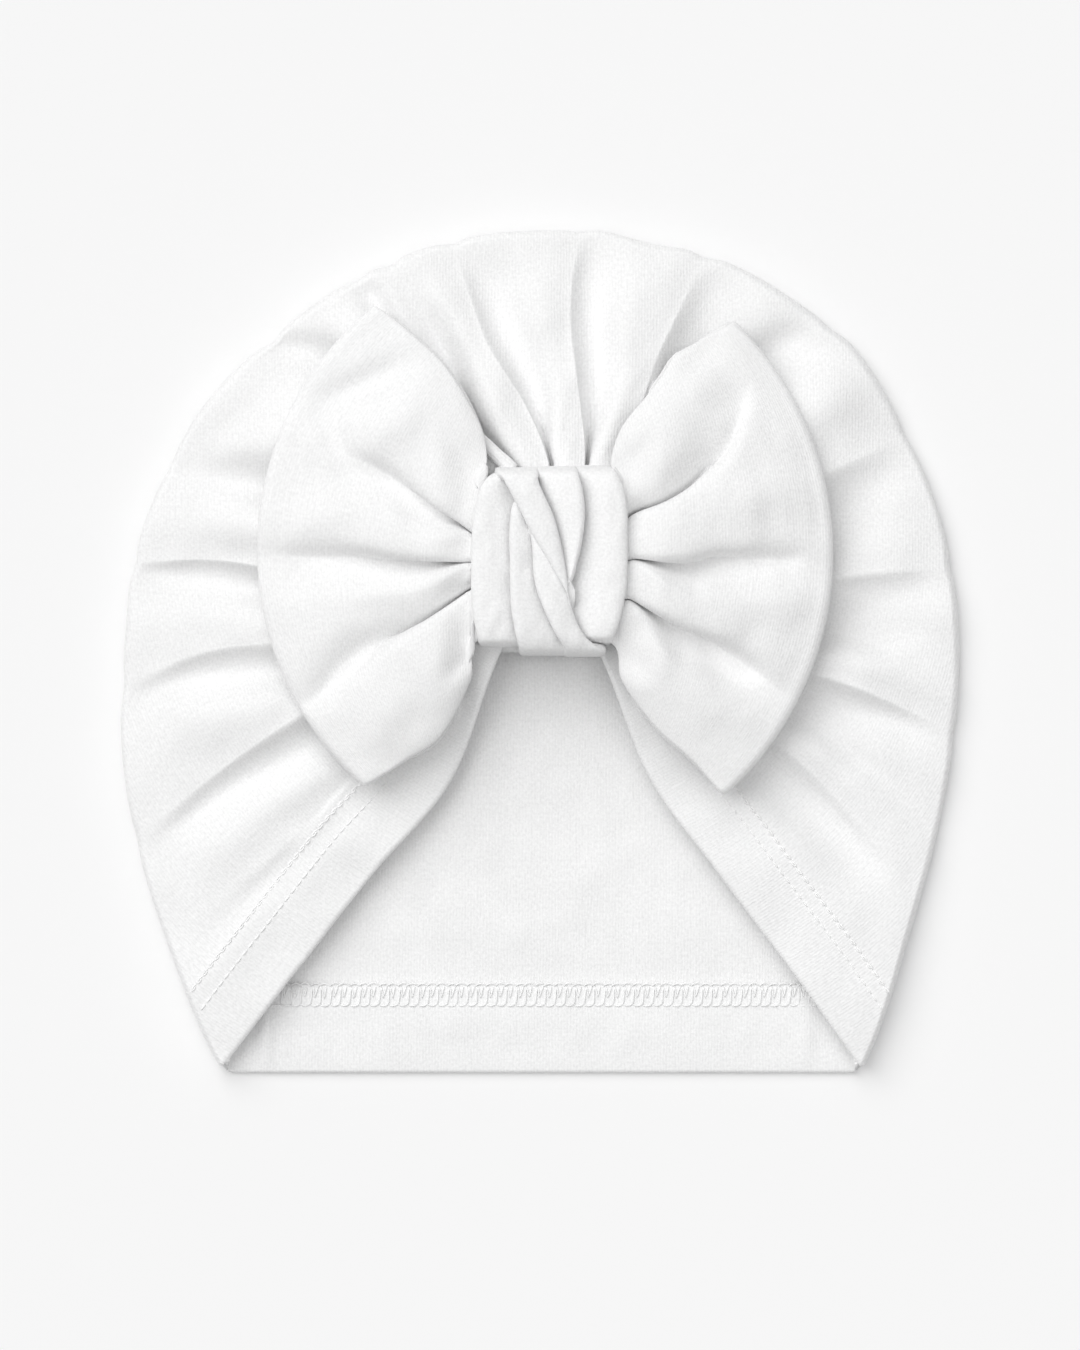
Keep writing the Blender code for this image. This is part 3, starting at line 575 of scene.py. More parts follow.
def front_surface(angle, radius, wrinkle=1.0):
    """Points of the front's outer face, from the knot's middle, and the way out of the cloth."""
    angle, radius = np.broadcast_arrays(angle, radius)
    out = share_out(angle, radius)
    rim = outline_radius(angle)
    plan = direction(angle) * radius[..., None]
    near_corner = corner_nearness(plan)
    inset = inset_of(angle, radius, out)
    pull = crease_pull(angle, radius, out)
    height = mix(LOFT_AT_KNOT, LOFT_AT_RIM, out ** 1.3)
    height = mix(height, LOFT_AT_CORNER, near_corner)
    low = (1.0 - ease(0.6 * SIDE_HEM, HEM_DROP, inset)) * ease(GATHER_RADIUS, 56.0, radius)
    height = mix(height, LOFT_AT_HEM, low) + panel_puff(angle, radius, out)
    double = (1.0 - ease(SIDE_HEM - 0.6, SIDE_HEM + 0.5, inset)) * ease(24.0, 40.0, radius)
    height = height + HEM_RISE * double
    for left_row, right_row in zip(STITCH_ROWS["left"], STITCH_ROWS["right"]):
        groove = hill(inset - np.where(angle > CROWN_ANGLE, left_row, right_row),
                      STITCH_GROOVE_WIDTH)
        height = height - STITCH_GROOVE * groove * ease(30.0, 45.0, radius)
    roll = mix(RIM_ROLL, CORNER_ROLL, near_corner)
    level = np.minimum(1.0, np.maximum(0.0, rim - radius) / roll)
    turn = np.arccos(1.0 - level)
    flat = mix(0.2, 1.0, ease(0.0, 1.0, level))
    round_knot = np.radians(angle) * 60.0
    coarse = rumple(np.stack((radius, round_knot), axis=-1), 13.0, 3.0)
    fine = rumple(np.stack((radius * 0.6, round_knot), axis=-1), 4.0, 8.0)
    small = (0.9 * coarse + 0.3 * fine) * wrinkle * ease(12.0, 30.0, radius)
    fall = small + swell(plan, FRONT_SWELLINGS) - pull
    room = np.maximum(height - LEAST_LOFT, 0.3)
    fall = np.where(fall < 0.0, -room * np.tanh(-fall / room), fall)
    points = plan.copy()
    points[..., 2] = RIM_MIDDLE_Z + (height - RIM_MIDDLE_Z) * np.sin(turn) + fall * flat
    way_out = direction(angle) * ((height - RIM_MIDDLE_Z) * np.cos(turn))[..., None]
    way_out[..., 2] = roll * np.sin(turn)
    return points, unit(way_out)


def wale(angle, radius):
    """The cloth's own coordinates on the front: across the ribs and along them. The ribs run
    straight down the crown and then round the knot to the face opening."""
    turned = np.radians(np.abs(angle - CROWN_ANGLE))
    upper = np.minimum(turned, math.pi / 2.0)
    across = radius * np.sin(upper) * np.sign(angle - CROWN_ANGLE)
    along = radius * np.cos(upper) - (turned - upper) * 75.0
    return np.stack((across, along), axis=-1) / WEAVE_SIZE


def out_along(rim, along):
    """The share of the way out of a row, for places of the outline. Rows crowd in the roll."""
    flat = (rim - GATHER_RADIUS - RIM_ROLL) / (rim - GATHER_RADIUS)
    if along <= FLAT_ROWS:
        return flat * along / FLAT_ROWS
    left = math.pi / 2.0 * (1.0 - along) / (1.0 - FLAT_ROWS)
    return 1.0 - (1.0 - flat) * (1.0 - math.cos(left))


def front_row(place, along, inset):
    """The angles and radii of one row of the front: the left hem's columns, those between
    the creases and the right hem's."""
    gaps = len(CREASES) - 1
    stops = np.array([crease.stops[-1] for crease in CREASES.values()])
    out = out_along(outline_radius(np.interp(place, np.arange(gaps + 1), stops)), along)
    table = np.stack([crease_angle(crease, out) for crease in CREASES.values()])
    edge_angles = (table[0, 0], table[-1, -1])
    # The ordinary columns stop where the hem's fold begins.
    edge_radius = mix(GATHER_RADIUS, outline_radius(np.array(edge_angles)), out[[0, -1]])
    start = np.degrees(HEM_FOLD / edge_radius)
    table[0] -= start[0]
    table[-1] += start[1]
    gap = np.minimum(place.astype(int), gaps - 1)
    pick = np.arange(len(place))
    angle = mix(table[gap, pick], table[gap + 1, pick], place - gap)
    radius = mix(GATHER_RADIUS, outline_radius(angle), out)
    hems = []
    for edge, at_edge, sign in zip(edge_angles, radius[[0, -1]], (-1.0, 1.0)):
        reach = min(SIDE_HEM, 0.3 * at_edge) / SIDE_HEM
        held = np.where(inset > HEM_FOLD, HEM_FOLD + (inset - HEM_FOLD) * reach, inset)
        hem_angle = edge + sign * np.degrees(held / at_edge)
        within = outline_radius(hem_angle) - 2.2 * ease(0.3, 2.2, inset)
        hems.append((hem_angle, np.minimum(at_edge, within)))
    left, right = hems
    return (np.concatenate((left[0][::-1], angle, right[0])),
            np.concatenate((left[1][::-1], radius, right[1])))


def gathered_row(angle, ring, depth, share):
    """A row between the seam under the knot and the ring where the creases begin."""
    rise = 1.0 - np.abs(angle - CROWN_ANGLE) / 152.0
    spread = SEAM_SPREAD * np.clip((CROWN_ANGLE - angle) / 6.0, -1.0, 1.0)
    seam = np.stack((spread, mix(SEAM_LOW_Y, SEAM_TOP_Y, rise), LOFT_AT_KNOT - depth), axis=-1)
    return mix(seam, ring, share)


def under_row(angle, radius, depth, share):
    """A row of the roll, from the outline back under the cap to the table."""
    turn = math.pi / 2.0 * share
    inward = -direction(angle)
    points = inward * (UNDER_ROLL * (1.0 - math.cos(turn)) - radius)[:, None]
    points[:, 2] = RIM_MIDDLE_Z * (1.0 - math.sin(turn))
    way_out = -inward * RIM_MIDDLE_Z * math.cos(turn)
    way_out[:, 2] = -UNDER_ROLL * math.sin(turn)
    return points - unit(way_out) * (depth * 0.55)[:, None]


def front_net(rumpled):
    """The front's points and weave: rows from the seam under the knot over the rim to the
    table, and columns from the left hem's raw edge to the right one's."""
    gap_columns, fold_columns, hem_columns = 18, 7, 10
    seam_rows, front_rows, under_rows = 8, 92, 9
    gaps = len(CREASES) - 1
    share = (1.0 - np.cos(np.pi * np.arange(gap_columns) / gap_columns)) / 2.0
    place = np.concatenate([k + share for k in range(gaps)] + [[float(gaps)]])
    turn = np.linspace(0.0, math.pi, fold_columns + 1)[1:]
    hem = SIDE_HEM * np.linspace(0.0, 1.0, hem_columns + 1)[1:]
    inset = np.concatenate((HEM_FOLD * (1.0 - np.sin(turn)), HEM_FOLD + hem))
    under = np.concatenate((HEM_FOLD * (1.0 - np.cos(turn)),
                            np.full(hem_columns, 2.0 * HEM_FOLD)))
    depth = np.concatenate((under[::-1], np.zeros(len(place)), under))

    points, weave = [], []
    for row in range(seam_rows):
        angle, radius = front_row(place, 0.0, inset)
        surface, way_out = front_surface(angle, radius, rumpled)
        ring = surface - way_out * depth[:, None]
        points.append(gathered_row(angle, ring, depth, row / seam_rows))
        weave.append(wale(angle, radius))
    for row in range(front_rows + 1):
        along = row / front_rows
        angle, radius = front_row(place, along, inset)
        surface, way_out = front_surface(angle, radius, rumpled)
        shrunk = depth * mix(1.0, 0.55, float(ease(0.86, 1.0, along)))
        points.append(surface - way_out * shrunk[:, None])
        weave.append(wale(angle, radius))
    for row in range(1, under_rows + 1):
        angle, radius = front_row(place, 1.0, inset)
        points.append(under_row(angle, radius, depth, row / under_rows))
        weave.append(wale(angle, radius + 4.0 * row / under_rows))
    return np.array(points) + KNOT, np.array(weave)


def outline_x(y, sign):
    """How far the outline lies to one side at heights of the back."""
    corner = CREASES["left_edge"].stops[-1] if sign < 0 else OUTLINE[-1][0]
    angle = np.linspace(CROWN_ANGLE, corner, 200)
    line = direction(angle) * outline_radius(angle)[:, None] + KNOT
    return np.interp(-y, -line[:, 1], line[:, 0])


def back_net(rumpled):
    """The back panel's outer face: down the table, round the lower fold and up the hem."""
    columns, panel_rows, fold_rows, hem_rows = 150, 130, 11, 18
    fold_start = BOTTOM_EDGE_Y + BACK_FOLD + 1.0
    panel = np.linspace(BACK_TOP_Y, fold_start, panel_rows)
    turn = np.linspace(0.0, math.pi, fold_rows)
    hem = np.linspace(fold_start, BACK_HEM_TOP_Y, hem_rows)[1:]
    y = np.concatenate((panel, BOTTOM_EDGE_Y + BACK_FOLD * (1.0 - np.sin(turn)), hem))
    z = np.concatenate((np.zeros(len(panel)), BACK_FOLD * (1.0 - np.cos(turn)),
                        np.full(len(hem), 2.0 * BACK_FOLD)))
    along = run_of(np.hypot(np.diff(y), np.diff(z)))
    across = np.linspace(0.0, 1.0, columns + 1)
    inset = mix(0.5, BACK_INSET, ease(BOTTOM_EDGE_Y + 3.0, BOTTOM_EDGE_Y + 14.0, y))
    inset = inset + 0.6 * (z >= 2.0 * BACK_FOLD)
    below = np.clip((BOTTOM_EDGE_Y + CORNER_ROUND - y) / CORNER_ROUND, 0.0, 1.0)
    inset = inset + CORNER_ROUND * (1.0 - np.sqrt(1.0 - below ** 2))
    left = outline_x(np.maximum(y, BOTTOM_EDGE_Y + 1.0), -1) + inset
    right = outline_x(np.maximum(y, BOTTOM_EDGE_Y + 1.0), 1) - inset
    x = mix(left[:, None], right[:, None], across[None])
    y2, z2 = np.repeat(y[:, None], columns + 1, 1), np.repeat(z[:, None], columns + 1, 1)
    plan = np.stack((x, y2), axis=-1)
    soft = 0.5 + 0.5 * rumple(plan, 16.0, 21.0)
    fine = rumple(plan * np.array((1.0, 0.8)), 5.0, 31.0)
    panel_lift = (0.9 * soft + 0.22 * fine) * rumpled
    panel_lift = panel_lift * ease(BOTTOM_EDGE_Y + 2.0, BOTTOM_EDGE_Y + 9.0, y2)
    panel_lift = panel_lift * ease(BACK_HEM_TOP_Y - 6.0, BACK_HEM_TOP_Y + 12.0, y2)
    # The hem lies flat under its stitches.
    calm = 1.0 - hill(y2 - BACK_HEM_TOP_Y + 2.0, 4.0)
    hem_lift = 0.25 * fine * calm * ease(BOTTOM_EDGE_Y + 2.0, BOTTOM_EDGE_Y + 5.0, y2)
    swollen = swell(plan, BACK_SWELLINGS) * ease(BOTTOM_EDGE_Y, BOTTOM_EDGE_Y + 4.0, y2)
    lift = np.where(z2 > BACK_FOLD, hem_lift + swollen, panel_lift)
    points = np.stack((x, y2, z2 + lift), axis=-1)
    weave = np.stack((x, np.repeat(along[:, None], columns + 1, 1)), axis=-1) / WEAVE_SIZE
    return points, weave


def seat_height(plan):
    """The height of the front under points of the bow, without its creases."""
    radius = np.maximum(GATHER_RADIUS * 0.2, np.hypot(plan[..., 0], plan[..., 1]))
    angle = np.degrees(np.arctan2(plan[..., 1], plan[..., 0]))
    angle = np.where(angle < -90.0, angle + 360.0, angle)
    angle = np.clip(angle, CREASES["right_edge"].stops[-1], CREASES["left_edge"].stops[-1])
    out = share_out(angle, radius)
    return mix(LOFT_AT_KNOT, LOFT_AT_RIM, out ** 1.3) + 0.6


def loop_plan(loop, out, rise):
    """A loop's points seen from above, from the knot's middle. out runs from the knot at 0
    to the outer fold at 1, and rise from the lower edge to the upper one."""
    upper = np.stack([curve([(row[0], row[i]) for row in loop.upper], out) for i in (1, 2)], -1)
    lower = np.stack([curve([(row[0], row[i]) for row in loop.lower], out) for i in (1, 2)], -1)
    point = mix(lower, upper, rise[..., None])
    low, top = np.array(loop.lower[-1][1:]), np.array(loop.upper[-1][1:])
    centre = np.array(loop.arc_centre)
    start = math.atan2(*(low - centre)[::-1])
    sweep = math.atan2(*(top - centre)[::-1]) - start
    sweep = (sweep + math.pi) % (2.0 * math.pi) - math.pi
    turn = start + sweep * rise
    arc = centre + loop.arc_radius * np.stack((np.cos(turn), np.sin(turn)), axis=-1)
    chord = mix(low, top, rise[..., None])
    return point + (arc - chord) * (np.clip(out, 0.0, 1.0) ** 1.6)[..., None]


def fold_rise(fold, out):
    """The share of a loop's height where a fold runs, at shares of the way out."""
    return curve(tuple(zip(LOOP_STOPS, fold.stops)), out)


def knot_height(y):
    """The height of the knot's own form over places along it."""
    share = np.minimum(1.0, np.abs(y) / KNOT_HALF_HEIGHT)
    foot = np.where(y > 0.0, KNOT_FOOT_TOP, KNOT_FOOT_LOW)
    round_off = (1.0 - share ** KNOT_SQUARENESS) ** (1.0 / KNOT_SQUARENESS)
    return foot + (KNOT_TOP_Z - foot) * round_off


def end_dive(left):
    """The share of its dive that a turn has made with so much of the bend left."""
    return 1.0 - np.sqrt(1.0 - (1.0 - np.clip(left, 0.0, 1.0)) ** 2.5)


def under_knot(plan):
    """How high a loop may be under the knot."""
    along = np.clip(plan[..., 1], -UNDER_KNOT_REACH, UNDER_KNOT_REACH)
    height = knot_height(along) - 2.0 * TURN_HALF_CLOTH - UNDER_KNOT_GAP
    return height - UNDER_KNOT_FALL * np.abs(plan[..., 1] - along)


def beside_knot(plan):
    """0 for points of a loop under the knot, and 1 for those that are clear of it."""
    away = np.maximum(np.abs(plan[..., 0]) - KNOT_HALF_WIDTH,
                      np.abs(plan[..., 1]) - KNOT_HALF_HEIGHT)
    return ease(-0.5, 7.0, away)


def loop_fold(fold, away, reach):
    """The dip of a loop's fold and the edge of its lip, for how far away points are from the
    fold's line and how far they reach from the knot."""
    wall = LIP_WALL * mix(0.6, 3.2, reach ** 1.5)
    lip = dip(np.abs(away), wall, wall + LIP_ROUND, LIP_SHARE)
    if fold.lip > 0:
        opening = mix(0.16, 1.0, ease(0.0, 0.42, reach)) * mix(1.0, 1.7, reach ** 2)
        slope = hollow(np.abs(away), fold.below * opening)
    else:
        wide = np.where(away > 0.0, fold.above, fold.below) * mix(0.28, 2.1, reach ** 0.85)
        slope = dip(np.abs(away), mix(0.7, 2.6, reach), wide, fold.core)
    edge = ease(0.0, wall * 1.1, away * fold.lip) * hill(away, 3.0 * wall + 1.5)
    return np.where(away * fold.lip > 0.0, lip, slope), edge


def loop_top(side, out, rise, rumpled):
    """The plan of a loop's upper skin, and the heights of the seat under it and of the skin."""
    plan = loop_plan(LOOPS[side], out, rise)
    seat = seat_height(plan) + LOOP_LIFT
    under = seat - LOOP_SINK * (1.0 - ease(0.4, 0.8, out))
    share = np.clip(out, 0.0, 1.0)
    across = np.maximum(0.0, 1.0 - np.abs(2.0 * rise - 1.0) ** 3.0)
    puff = LOOP_PUFF * across ** 0.8 * (1.0 - share ** 2.4)
    height = seat + mix(LOOP_EDGE_HEIGHT, LOOP_FOLD_HEIGHT, share ** 3.0) + puff
    height = mix(np.minimum(height, under_knot(plan)), height, beside_knot(plan))
    tall = mix(32.0, 99.0, share)
    reach = np.clip((out - KNOT_SIDE) / (1.0 - KNOT_SIDE), 0.0, 1.0)
    pull = np.zeros_like(out)
    lean = np.zeros_like(out)
    for fold in LOOP_FOLDS[side]:
        away = (rise - fold_rise(fold, out)) * tall
        strength = ease(-0.22, 0.0, out) * (1.0 - ease(fold.fades, fold.gone, reach))
        shape, edge = loop_fold(fold, away, reach)
        lean -= fold.lip * LIP_LEAN * strength * edge * (1.0 - ease(0.3, 0.8, reach))
        pull += (fold.depth * strength * shape) ** CREASE_MIX
    height = height - pull ** (1.0 / CREASE_MIX) * across ** 0.25
    height = height + swell(plan, LOOP_SWELLINGS[side])
    small = 0.65 * rumple(plan, 9.0, 12.0) + 0.28 * rumple(plan, 4.0, 14.0)
    height = height + small * rumpled * ease(0.1, 0.3, out) * across ** 0.3
    plan = loop_plan(LOOPS[side], out, rise + lean / tall)
    height = np.maximum(height, under + 2.0 * LOOP_HALF_CLOTH + 0.3)
    return plan, under, height


def loop_columns(side, out):
    """Shares of a loop's height that crowd along its folds, for rows of shares out."""
    steps = 18
    folds = sorted(LOOP_FOLDS[side], key=lambda fold: fold.stops[0])
    stops = [np.zeros_like(out)] + [fold_rise(fold, out) for fold in folds]
    stops.append(np.ones_like(out))
    columns = []
    for low, high in zip(stops, stops[1:]):
        share = np.arange(steps) / steps
        crowded = mix(share, (1.0 - np.cos(np.pi * share)) / 2.0, 0.75)
        columns.append(mix(low[:, None], high[:, None], crowded[None]))
    return np.concatenate(columns + [np.ones((len(out), 1))], axis=1)


def loop_skin(side, rumpled):
    """The outer skin of a loop, from the knot over the outer fold and back under it."""
    run, fold_steps, fold_start = 84, 12, 0.955
    out = np.linspace(LOOPS[side].upper[0][0], fold_start, run)
    rise = loop_columns(side, out)
    wide = np.repeat(out[:, None], rise.shape[1], axis=1)
    plan, under, top = loop_top(side, wide, rise, rumpled)
    skin = [np.concatenate((plan, top[..., None]), axis=-1)]
    last_rise = rise[-1]
    tip = loop_plan(LOOPS[side], np.ones_like(last_rise), last_rise)
    start = skin[0][-1]
    low = under[-1]
    outward = tip - start[:, :2]
    middle, half = (start[:, 2] + low) / 2.0, (start[:, 2] - low) / 2.0
    for turn in np.linspace(0.0, math.pi, fold_steps + 1)[1:]:
        place = start[:, :2] + outward * math.sin(turn)
        skin.append(np.concatenate((place, (middle + half * math.cos(turn))[:, None]), -1)[None])
    back = np.concatenate((plan, under[..., None]), axis=-1)[::-1][1:]
    skin.append(back[::3])
    skin = np.concatenate(skin)
    middle_line = skin[:, skin.shape[1] // 2]
    length = run_of(np.linalg.norm(np.diff(middle_line, axis=0), axis=-1))
    tall = np.concatenate((rise, np.repeat(rise[-1:], len(skin) - run, axis=0))) * 80.0
    weave = np.stack((np.repeat(length[:, None], skin.shape[1], axis=1), tall), axis=-1)
    return skin, weave / WEAVE_SIZE


def smooth_normals(skin):
    """The way out of a net of points, blurred so that a wall under it stays even."""
    along = np.gradient(skin, axis=0)
    across = np.gradient(skin, axis=1)
    normal = unit(np.cross(across, along))
    for _ in range(4):
        normal[1:-1] = unit(normal[:-2] + normal[1:-1] + normal[2:])
        normal[:, 1:-1] = unit(normal[:, :-2] + normal[:, 1:-1] + normal[:, 2:])
    return normal


def padded_ring(skin, weave, half, flip):
    """A padded strip whose outer skin is given: round each of its two edges and back under."""
    normal = smooth_normals(skin) * (-1.0 if flip else 1.0)
    across = unit(np.gradient(skin, axis=1))
    half = half * np.ones((len(skin), 1))
    middle = skin - normal * half[..., None]
    steps = 8
    nets, coordinates = [skin], [weave]
    turns = np.linspace(0.0, math.pi, steps + 1)[1:-1]
    gap = float(half.max()) * math.pi / steps / WEAVE_SIZE
    for column, sign in ((-1, 1.0), (0, -1.0)):
        edge = [middle[:, column] + half * (math.cos(t) * normal[:, column]
                + sign * math.sin(t) * across[:, column]) for t in turns]
        shift = [weave[:, column] + np.array((0.0, sign * gap * k)) for k in range(1, steps)]
        under = skin - 2.0 * half[..., None] * normal
        if sign > 0:
            nets += [np.stack(edge, axis=1), under[:, ::-1]]
            coordinates += [np.stack(shift, axis=1), weave[:, ::-1]]
        else:
            nets.append(np.stack(edge[::-1], axis=1))
            coordinates.append(np.stack(shift[::-1], axis=1))
    nets.append(skin[:, :1])
    coordinates.append(weave[:, :1])
    return np.concatenate(nets, axis=1), np.concatenate(coordinates, axis=1)


def turn_skin(turn, order):
    """The outer skin of one turn of the knot's band."""
    across, along = 26, 72
    share = np.linspace(0.0, 1.0, across + 1)
    place = np.sin(math.pi / 2.0 * np.linspace(-1.0, 1.0, along + 1))
    y = mix(turn.bottom, turn.top, (place + 1.0) / 2.0)
    left, right = curve(turn.left, y), curve(turn.right, y)
    half = np.minimum(TURN_HALF_CLOTH, 0.42 * (right - left))
    x = mix((left + half)[:, None], (right - half)[:, None], share[None])
    tall = np.repeat(y[:, None], across + 1, axis=1)
    own = knot_height(tall)
    own = own - turn.dive * end_dive((tall - turn.bottom) / turn.bend)
    own = own - KNOT_DIVE * end_dive((turn.top - tall) / KNOT_BEND)
    rise = own + mix(turn.stands_left, turn.stands_right, share[None]) - TURN_CROWN
    rise = rise - KNOT_SIDE_FALL * np.abs(x / KNOT_HALF_WIDTH) ** 4.0
    crown = (turn.crown + TURN_CROWN) * np.sqrt(1.0 - (0.96 * (2.0 * share - 1.0)) ** 2)[None]
    crown = crown * np.minimum(1.0, (right - left) / 7.0)[:, None]
    small = 0.25 * rumple(np.stack((x * 1.6, tall), axis=-1), 4.0, 40.0 + order)
    skin = np.stack((x, tall, np.maximum(rise + crown + small, LEAST_TURN_Z)), axis=-1)
    length = run_of(np.hypot(np.diff(y), np.diff(knot_height(y))))
    weave = np.stack((x, np.repeat(length[:, None], across + 1, axis=1)), axis=-1)
    return skin, weave / WEAVE_SIZE, half


def straight_skin(strip):
    """The outer skin of a short straight strip of cloth."""
    along = np.linspace(0.0, 1.0, 25)[:, None]
    across = np.linspace(-1.0, 1.0, 13)[None]
    start, end = np.array(strip.start), np.array(strip.end)
    ahead = unit((end - start)[None])[0]
    side = np.array((ahead[1], -ahead[0], 0.0)) * strip.width / 2.0
    middle = start + (end - start) * along[..., None]
    skin = middle + across[..., None] * side
    skin[..., 2] += strip.crown * (1.0 - across ** 2) - strip.sag * (2.0 * along - 1.0) ** 2
    skin[..., 2] += 0.2 * rumple(skin[..., :2] * 1.7, 3.0, 61.0)
    weave = np.stack(np.broadcast_arrays(across * strip.width / 2.0, along * 20.0), axis=-1)
    return skin, weave / WEAVE_SIZE


def place_piece(name, mesh, material):
    """The object of a finished mesh, which moves with the headwrap's one body."""
    mesh.materials.append(material)
    piece = bpy.data.objects.new(name, mesh)
    bpy.context.scene.collection.objects.link(piece)
    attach(piece, "root")
    return piece


def close_up(rolled):
    """Join the edges of rolled nets and fill their open ends."""
    bmesh.ops.remove_doubles(rolled, verts=rolled.verts[:], dist=1e-6)
    open_edges = [edge for edge in rolled.edges if edge.is_boundary]
    bmesh.ops.holes_fill(rolled, edges=open_edges, sides=0)
    bmesh.ops.recalc_face_normals(rolled, faces=rolled.faces[:])


def cloth_piece(name, points, weave, material, closed=False):
    """A cloth through a net of points, with the cloth's own coordinates as its UV map."""
    rows, columns = points.shape[0] - 1, points.shape[1] - 1
    cloth = bmesh.new()
    bmesh.ops.create_grid(cloth, x_segments=columns, y_segments=rows, size=0.5)
    mesh = bpy.data.meshes.new(name)
    cloth.to_mesh(mesh)
    cloth.free()
    place = np.empty(len(mesh.vertices) * 3)
    mesh.vertices.foreach_get("co", place)
    place = place.reshape(-1, 3)
    column = np.rint((place[:, 0] + 0.5) * columns).astype(int)
    row = np.rint((place[:, 1] + 0.5) * rows).astype(int)
    mesh.vertices.foreach_set("co", (points[row, column] * MM).ravel())
    corner = np.empty(len(mesh.loops), int)
    mesh.loops.foreach_get("vertex_index", corner)
    layer = mesh.uv_layers.new(name="weave")
    layer.uv.foreach_set("vector", weave[row, column][corner].astype(np.float32).ravel())
    cloth = bmesh.new()
    cloth.from_mesh(mesh)
    if closed:
        close_up(cloth)
        if cloth.calc_volume(signed=True) < 0.0:
            bmesh.ops.reverse_faces(cloth, faces=cloth.faces[:])
    cloth.to_mesh(mesh)
    cloth.free()
    mesh.shade_smooth()
    return place_piece(name, mesh, material)


def padded_piece(name, skin, weave, half, material, flip=False):
    """A padded strip whose outer skin is given from the knot's middle."""
    ring, ring_weave = padded_ring(skin + KNOT, weave, half, flip)
    return cloth_piece(name, ring, ring_weave, material, closed=True)


def add_wall(piece, thickness):
    """Give a cloth its thickness, inwards from its outer face."""
    wall = piece.modifiers.new("wall", "SOLIDIFY")
    wall.thickness = thickness
    wall.offset = -1.0


def thread_piece(name, paths, radius, material):
    """Sewing threads along paths of points in millimetres, joined in one mesh."""
    threads = bmesh.new()
    layer = threads.loops.layers.uv.new("weave")
    for path in paths:
        path = np.asarray(path, float)
        rows = len(path) - 1
        made = bmesh.ops.create_grid(threads, x_segments=THREAD_SIDES, y_segments=rows, size=0.5)
        along = unit(np.gradient(path, axis=0))
        side = unit(np.cross(along, np.array((0.0, 0.0, 1.0))))
        up = np.cross(side, along)
        for vert in made["verts"]:
            share = round((vert.co.x + 0.5) * THREAD_SIDES) / THREAD_SIDES
            turn = 2.0 * math.pi * share
            row = round((vert.co.y + 0.5) * rows)
            thick = radius * (THREAD_END if row in (0, rows) else 1.0)
            place = path[row] + thick * (math.cos(turn) * side[row] + math.sin(turn) * up[row])
            for loop in vert.link_loops:
                loop[layer].uv = (share, row / 4.0)
            vert.co = place * MM
    close_up(threads)
    mesh = bpy.data.meshes.new(name)
    threads.to_mesh(mesh)
    threads.free()
    mesh.shade_smooth()
    return place_piece(name, mesh, material)


def hem_stitch_paths(edge, sign, row, pitch, double):
    """The stitches of one row along a slanting edge of the face opening, with two threads
    side by side where the row is double."""
    paths = []
    crease = CREASES[edge]
    rim = float(outline_radius(crease.stops[-1]))
    radius = STITCHES_START
    while radius < rim - 3.0:
        steps = np.linspace(0.0, 1.0, 6)
        r = radius + pitch * (0.06 + 0.80 * steps)
        out = (r - GATHER_RADIUS) / (rim - GATHER_RADIUS)
        angle = crease_angle(crease, out) + sign * np.degrees(row / r)
        if np.any(r > outline_radius(angle) - 0.6):
            break
        points, way_out = front_surface(angle, r)
        lift = -0.10 + 0.22 * np.sin(steps * math.pi) ** 0.6
        path = points + way_out * lift[:, None] + KNOT
        if double:
            across = unit(np.cross(points[-1] - points[0], (0.0, 0.0, 1.0)))
            swing = 0.24 * np.sin(steps * math.pi)[:, None] * across
            paths.append(path + swing)
            paths.append(path - swing * 0.9 + (points[-1] - points[0]) * 0.2)
        else:
            paths.append(path)
        radius += pitch
    return paths


def ladder_paths(pitch):
    """The cover stitch along the raw edge of the back's hem: a straight row below, legs
    and a row of loops above."""
    paths = []
    (low_y, low_z), (top_y, top_z) = LADDER_LOW, LADDER_TOP
    share = np.linspace(0.0, 1.0, 6)
    arch = np.sin(math.pi * share)
    legs_z = mix(low_z, top_z, share)
    x = LADDER_START_X
    stitch = 0
    while x < LADDER_END_X:
        # The stitches differ a little from one another, as sewn ones do.
        wave = 0.12 * math.sin(stitch * 1.9)
        lean = 0.18 * math.sin(stitch * 2.7 + 1.0)
        middle = x + 0.45 * pitch
        slant_low = low_y + 1.5 + wave
        for along, across, height in (
                (x + pitch * (0.04 + 0.92 * share), low_y - 0.22 * arch + wave * 0.4,
                 low_z + 0.2 * arch - 0.05),
                (x + 0.1 + (0.25 + lean) * share, mix(low_y, top_y, share), legs_z + 0.12 * arch),
                (middle + (0.32 * pitch + lean) * share, mix(slant_low, top_y - 0.1, share),
                 legs_z + 0.1 * arch),
                (middle - (0.2 * pitch - lean) * share, mix(slant_low, top_y - 0.2, share),
                 legs_z + 0.1 * arch),
                (x + pitch * (-0.05 + 1.15 * share) + lean, top_y + (0.62 + wave) * arch,
                 top_z + 0.18 * arch - 0.2 * share)):
            paths.append(np.stack((along, across, height), axis=-1))
        x += pitch
        stitch += 1
    return paths


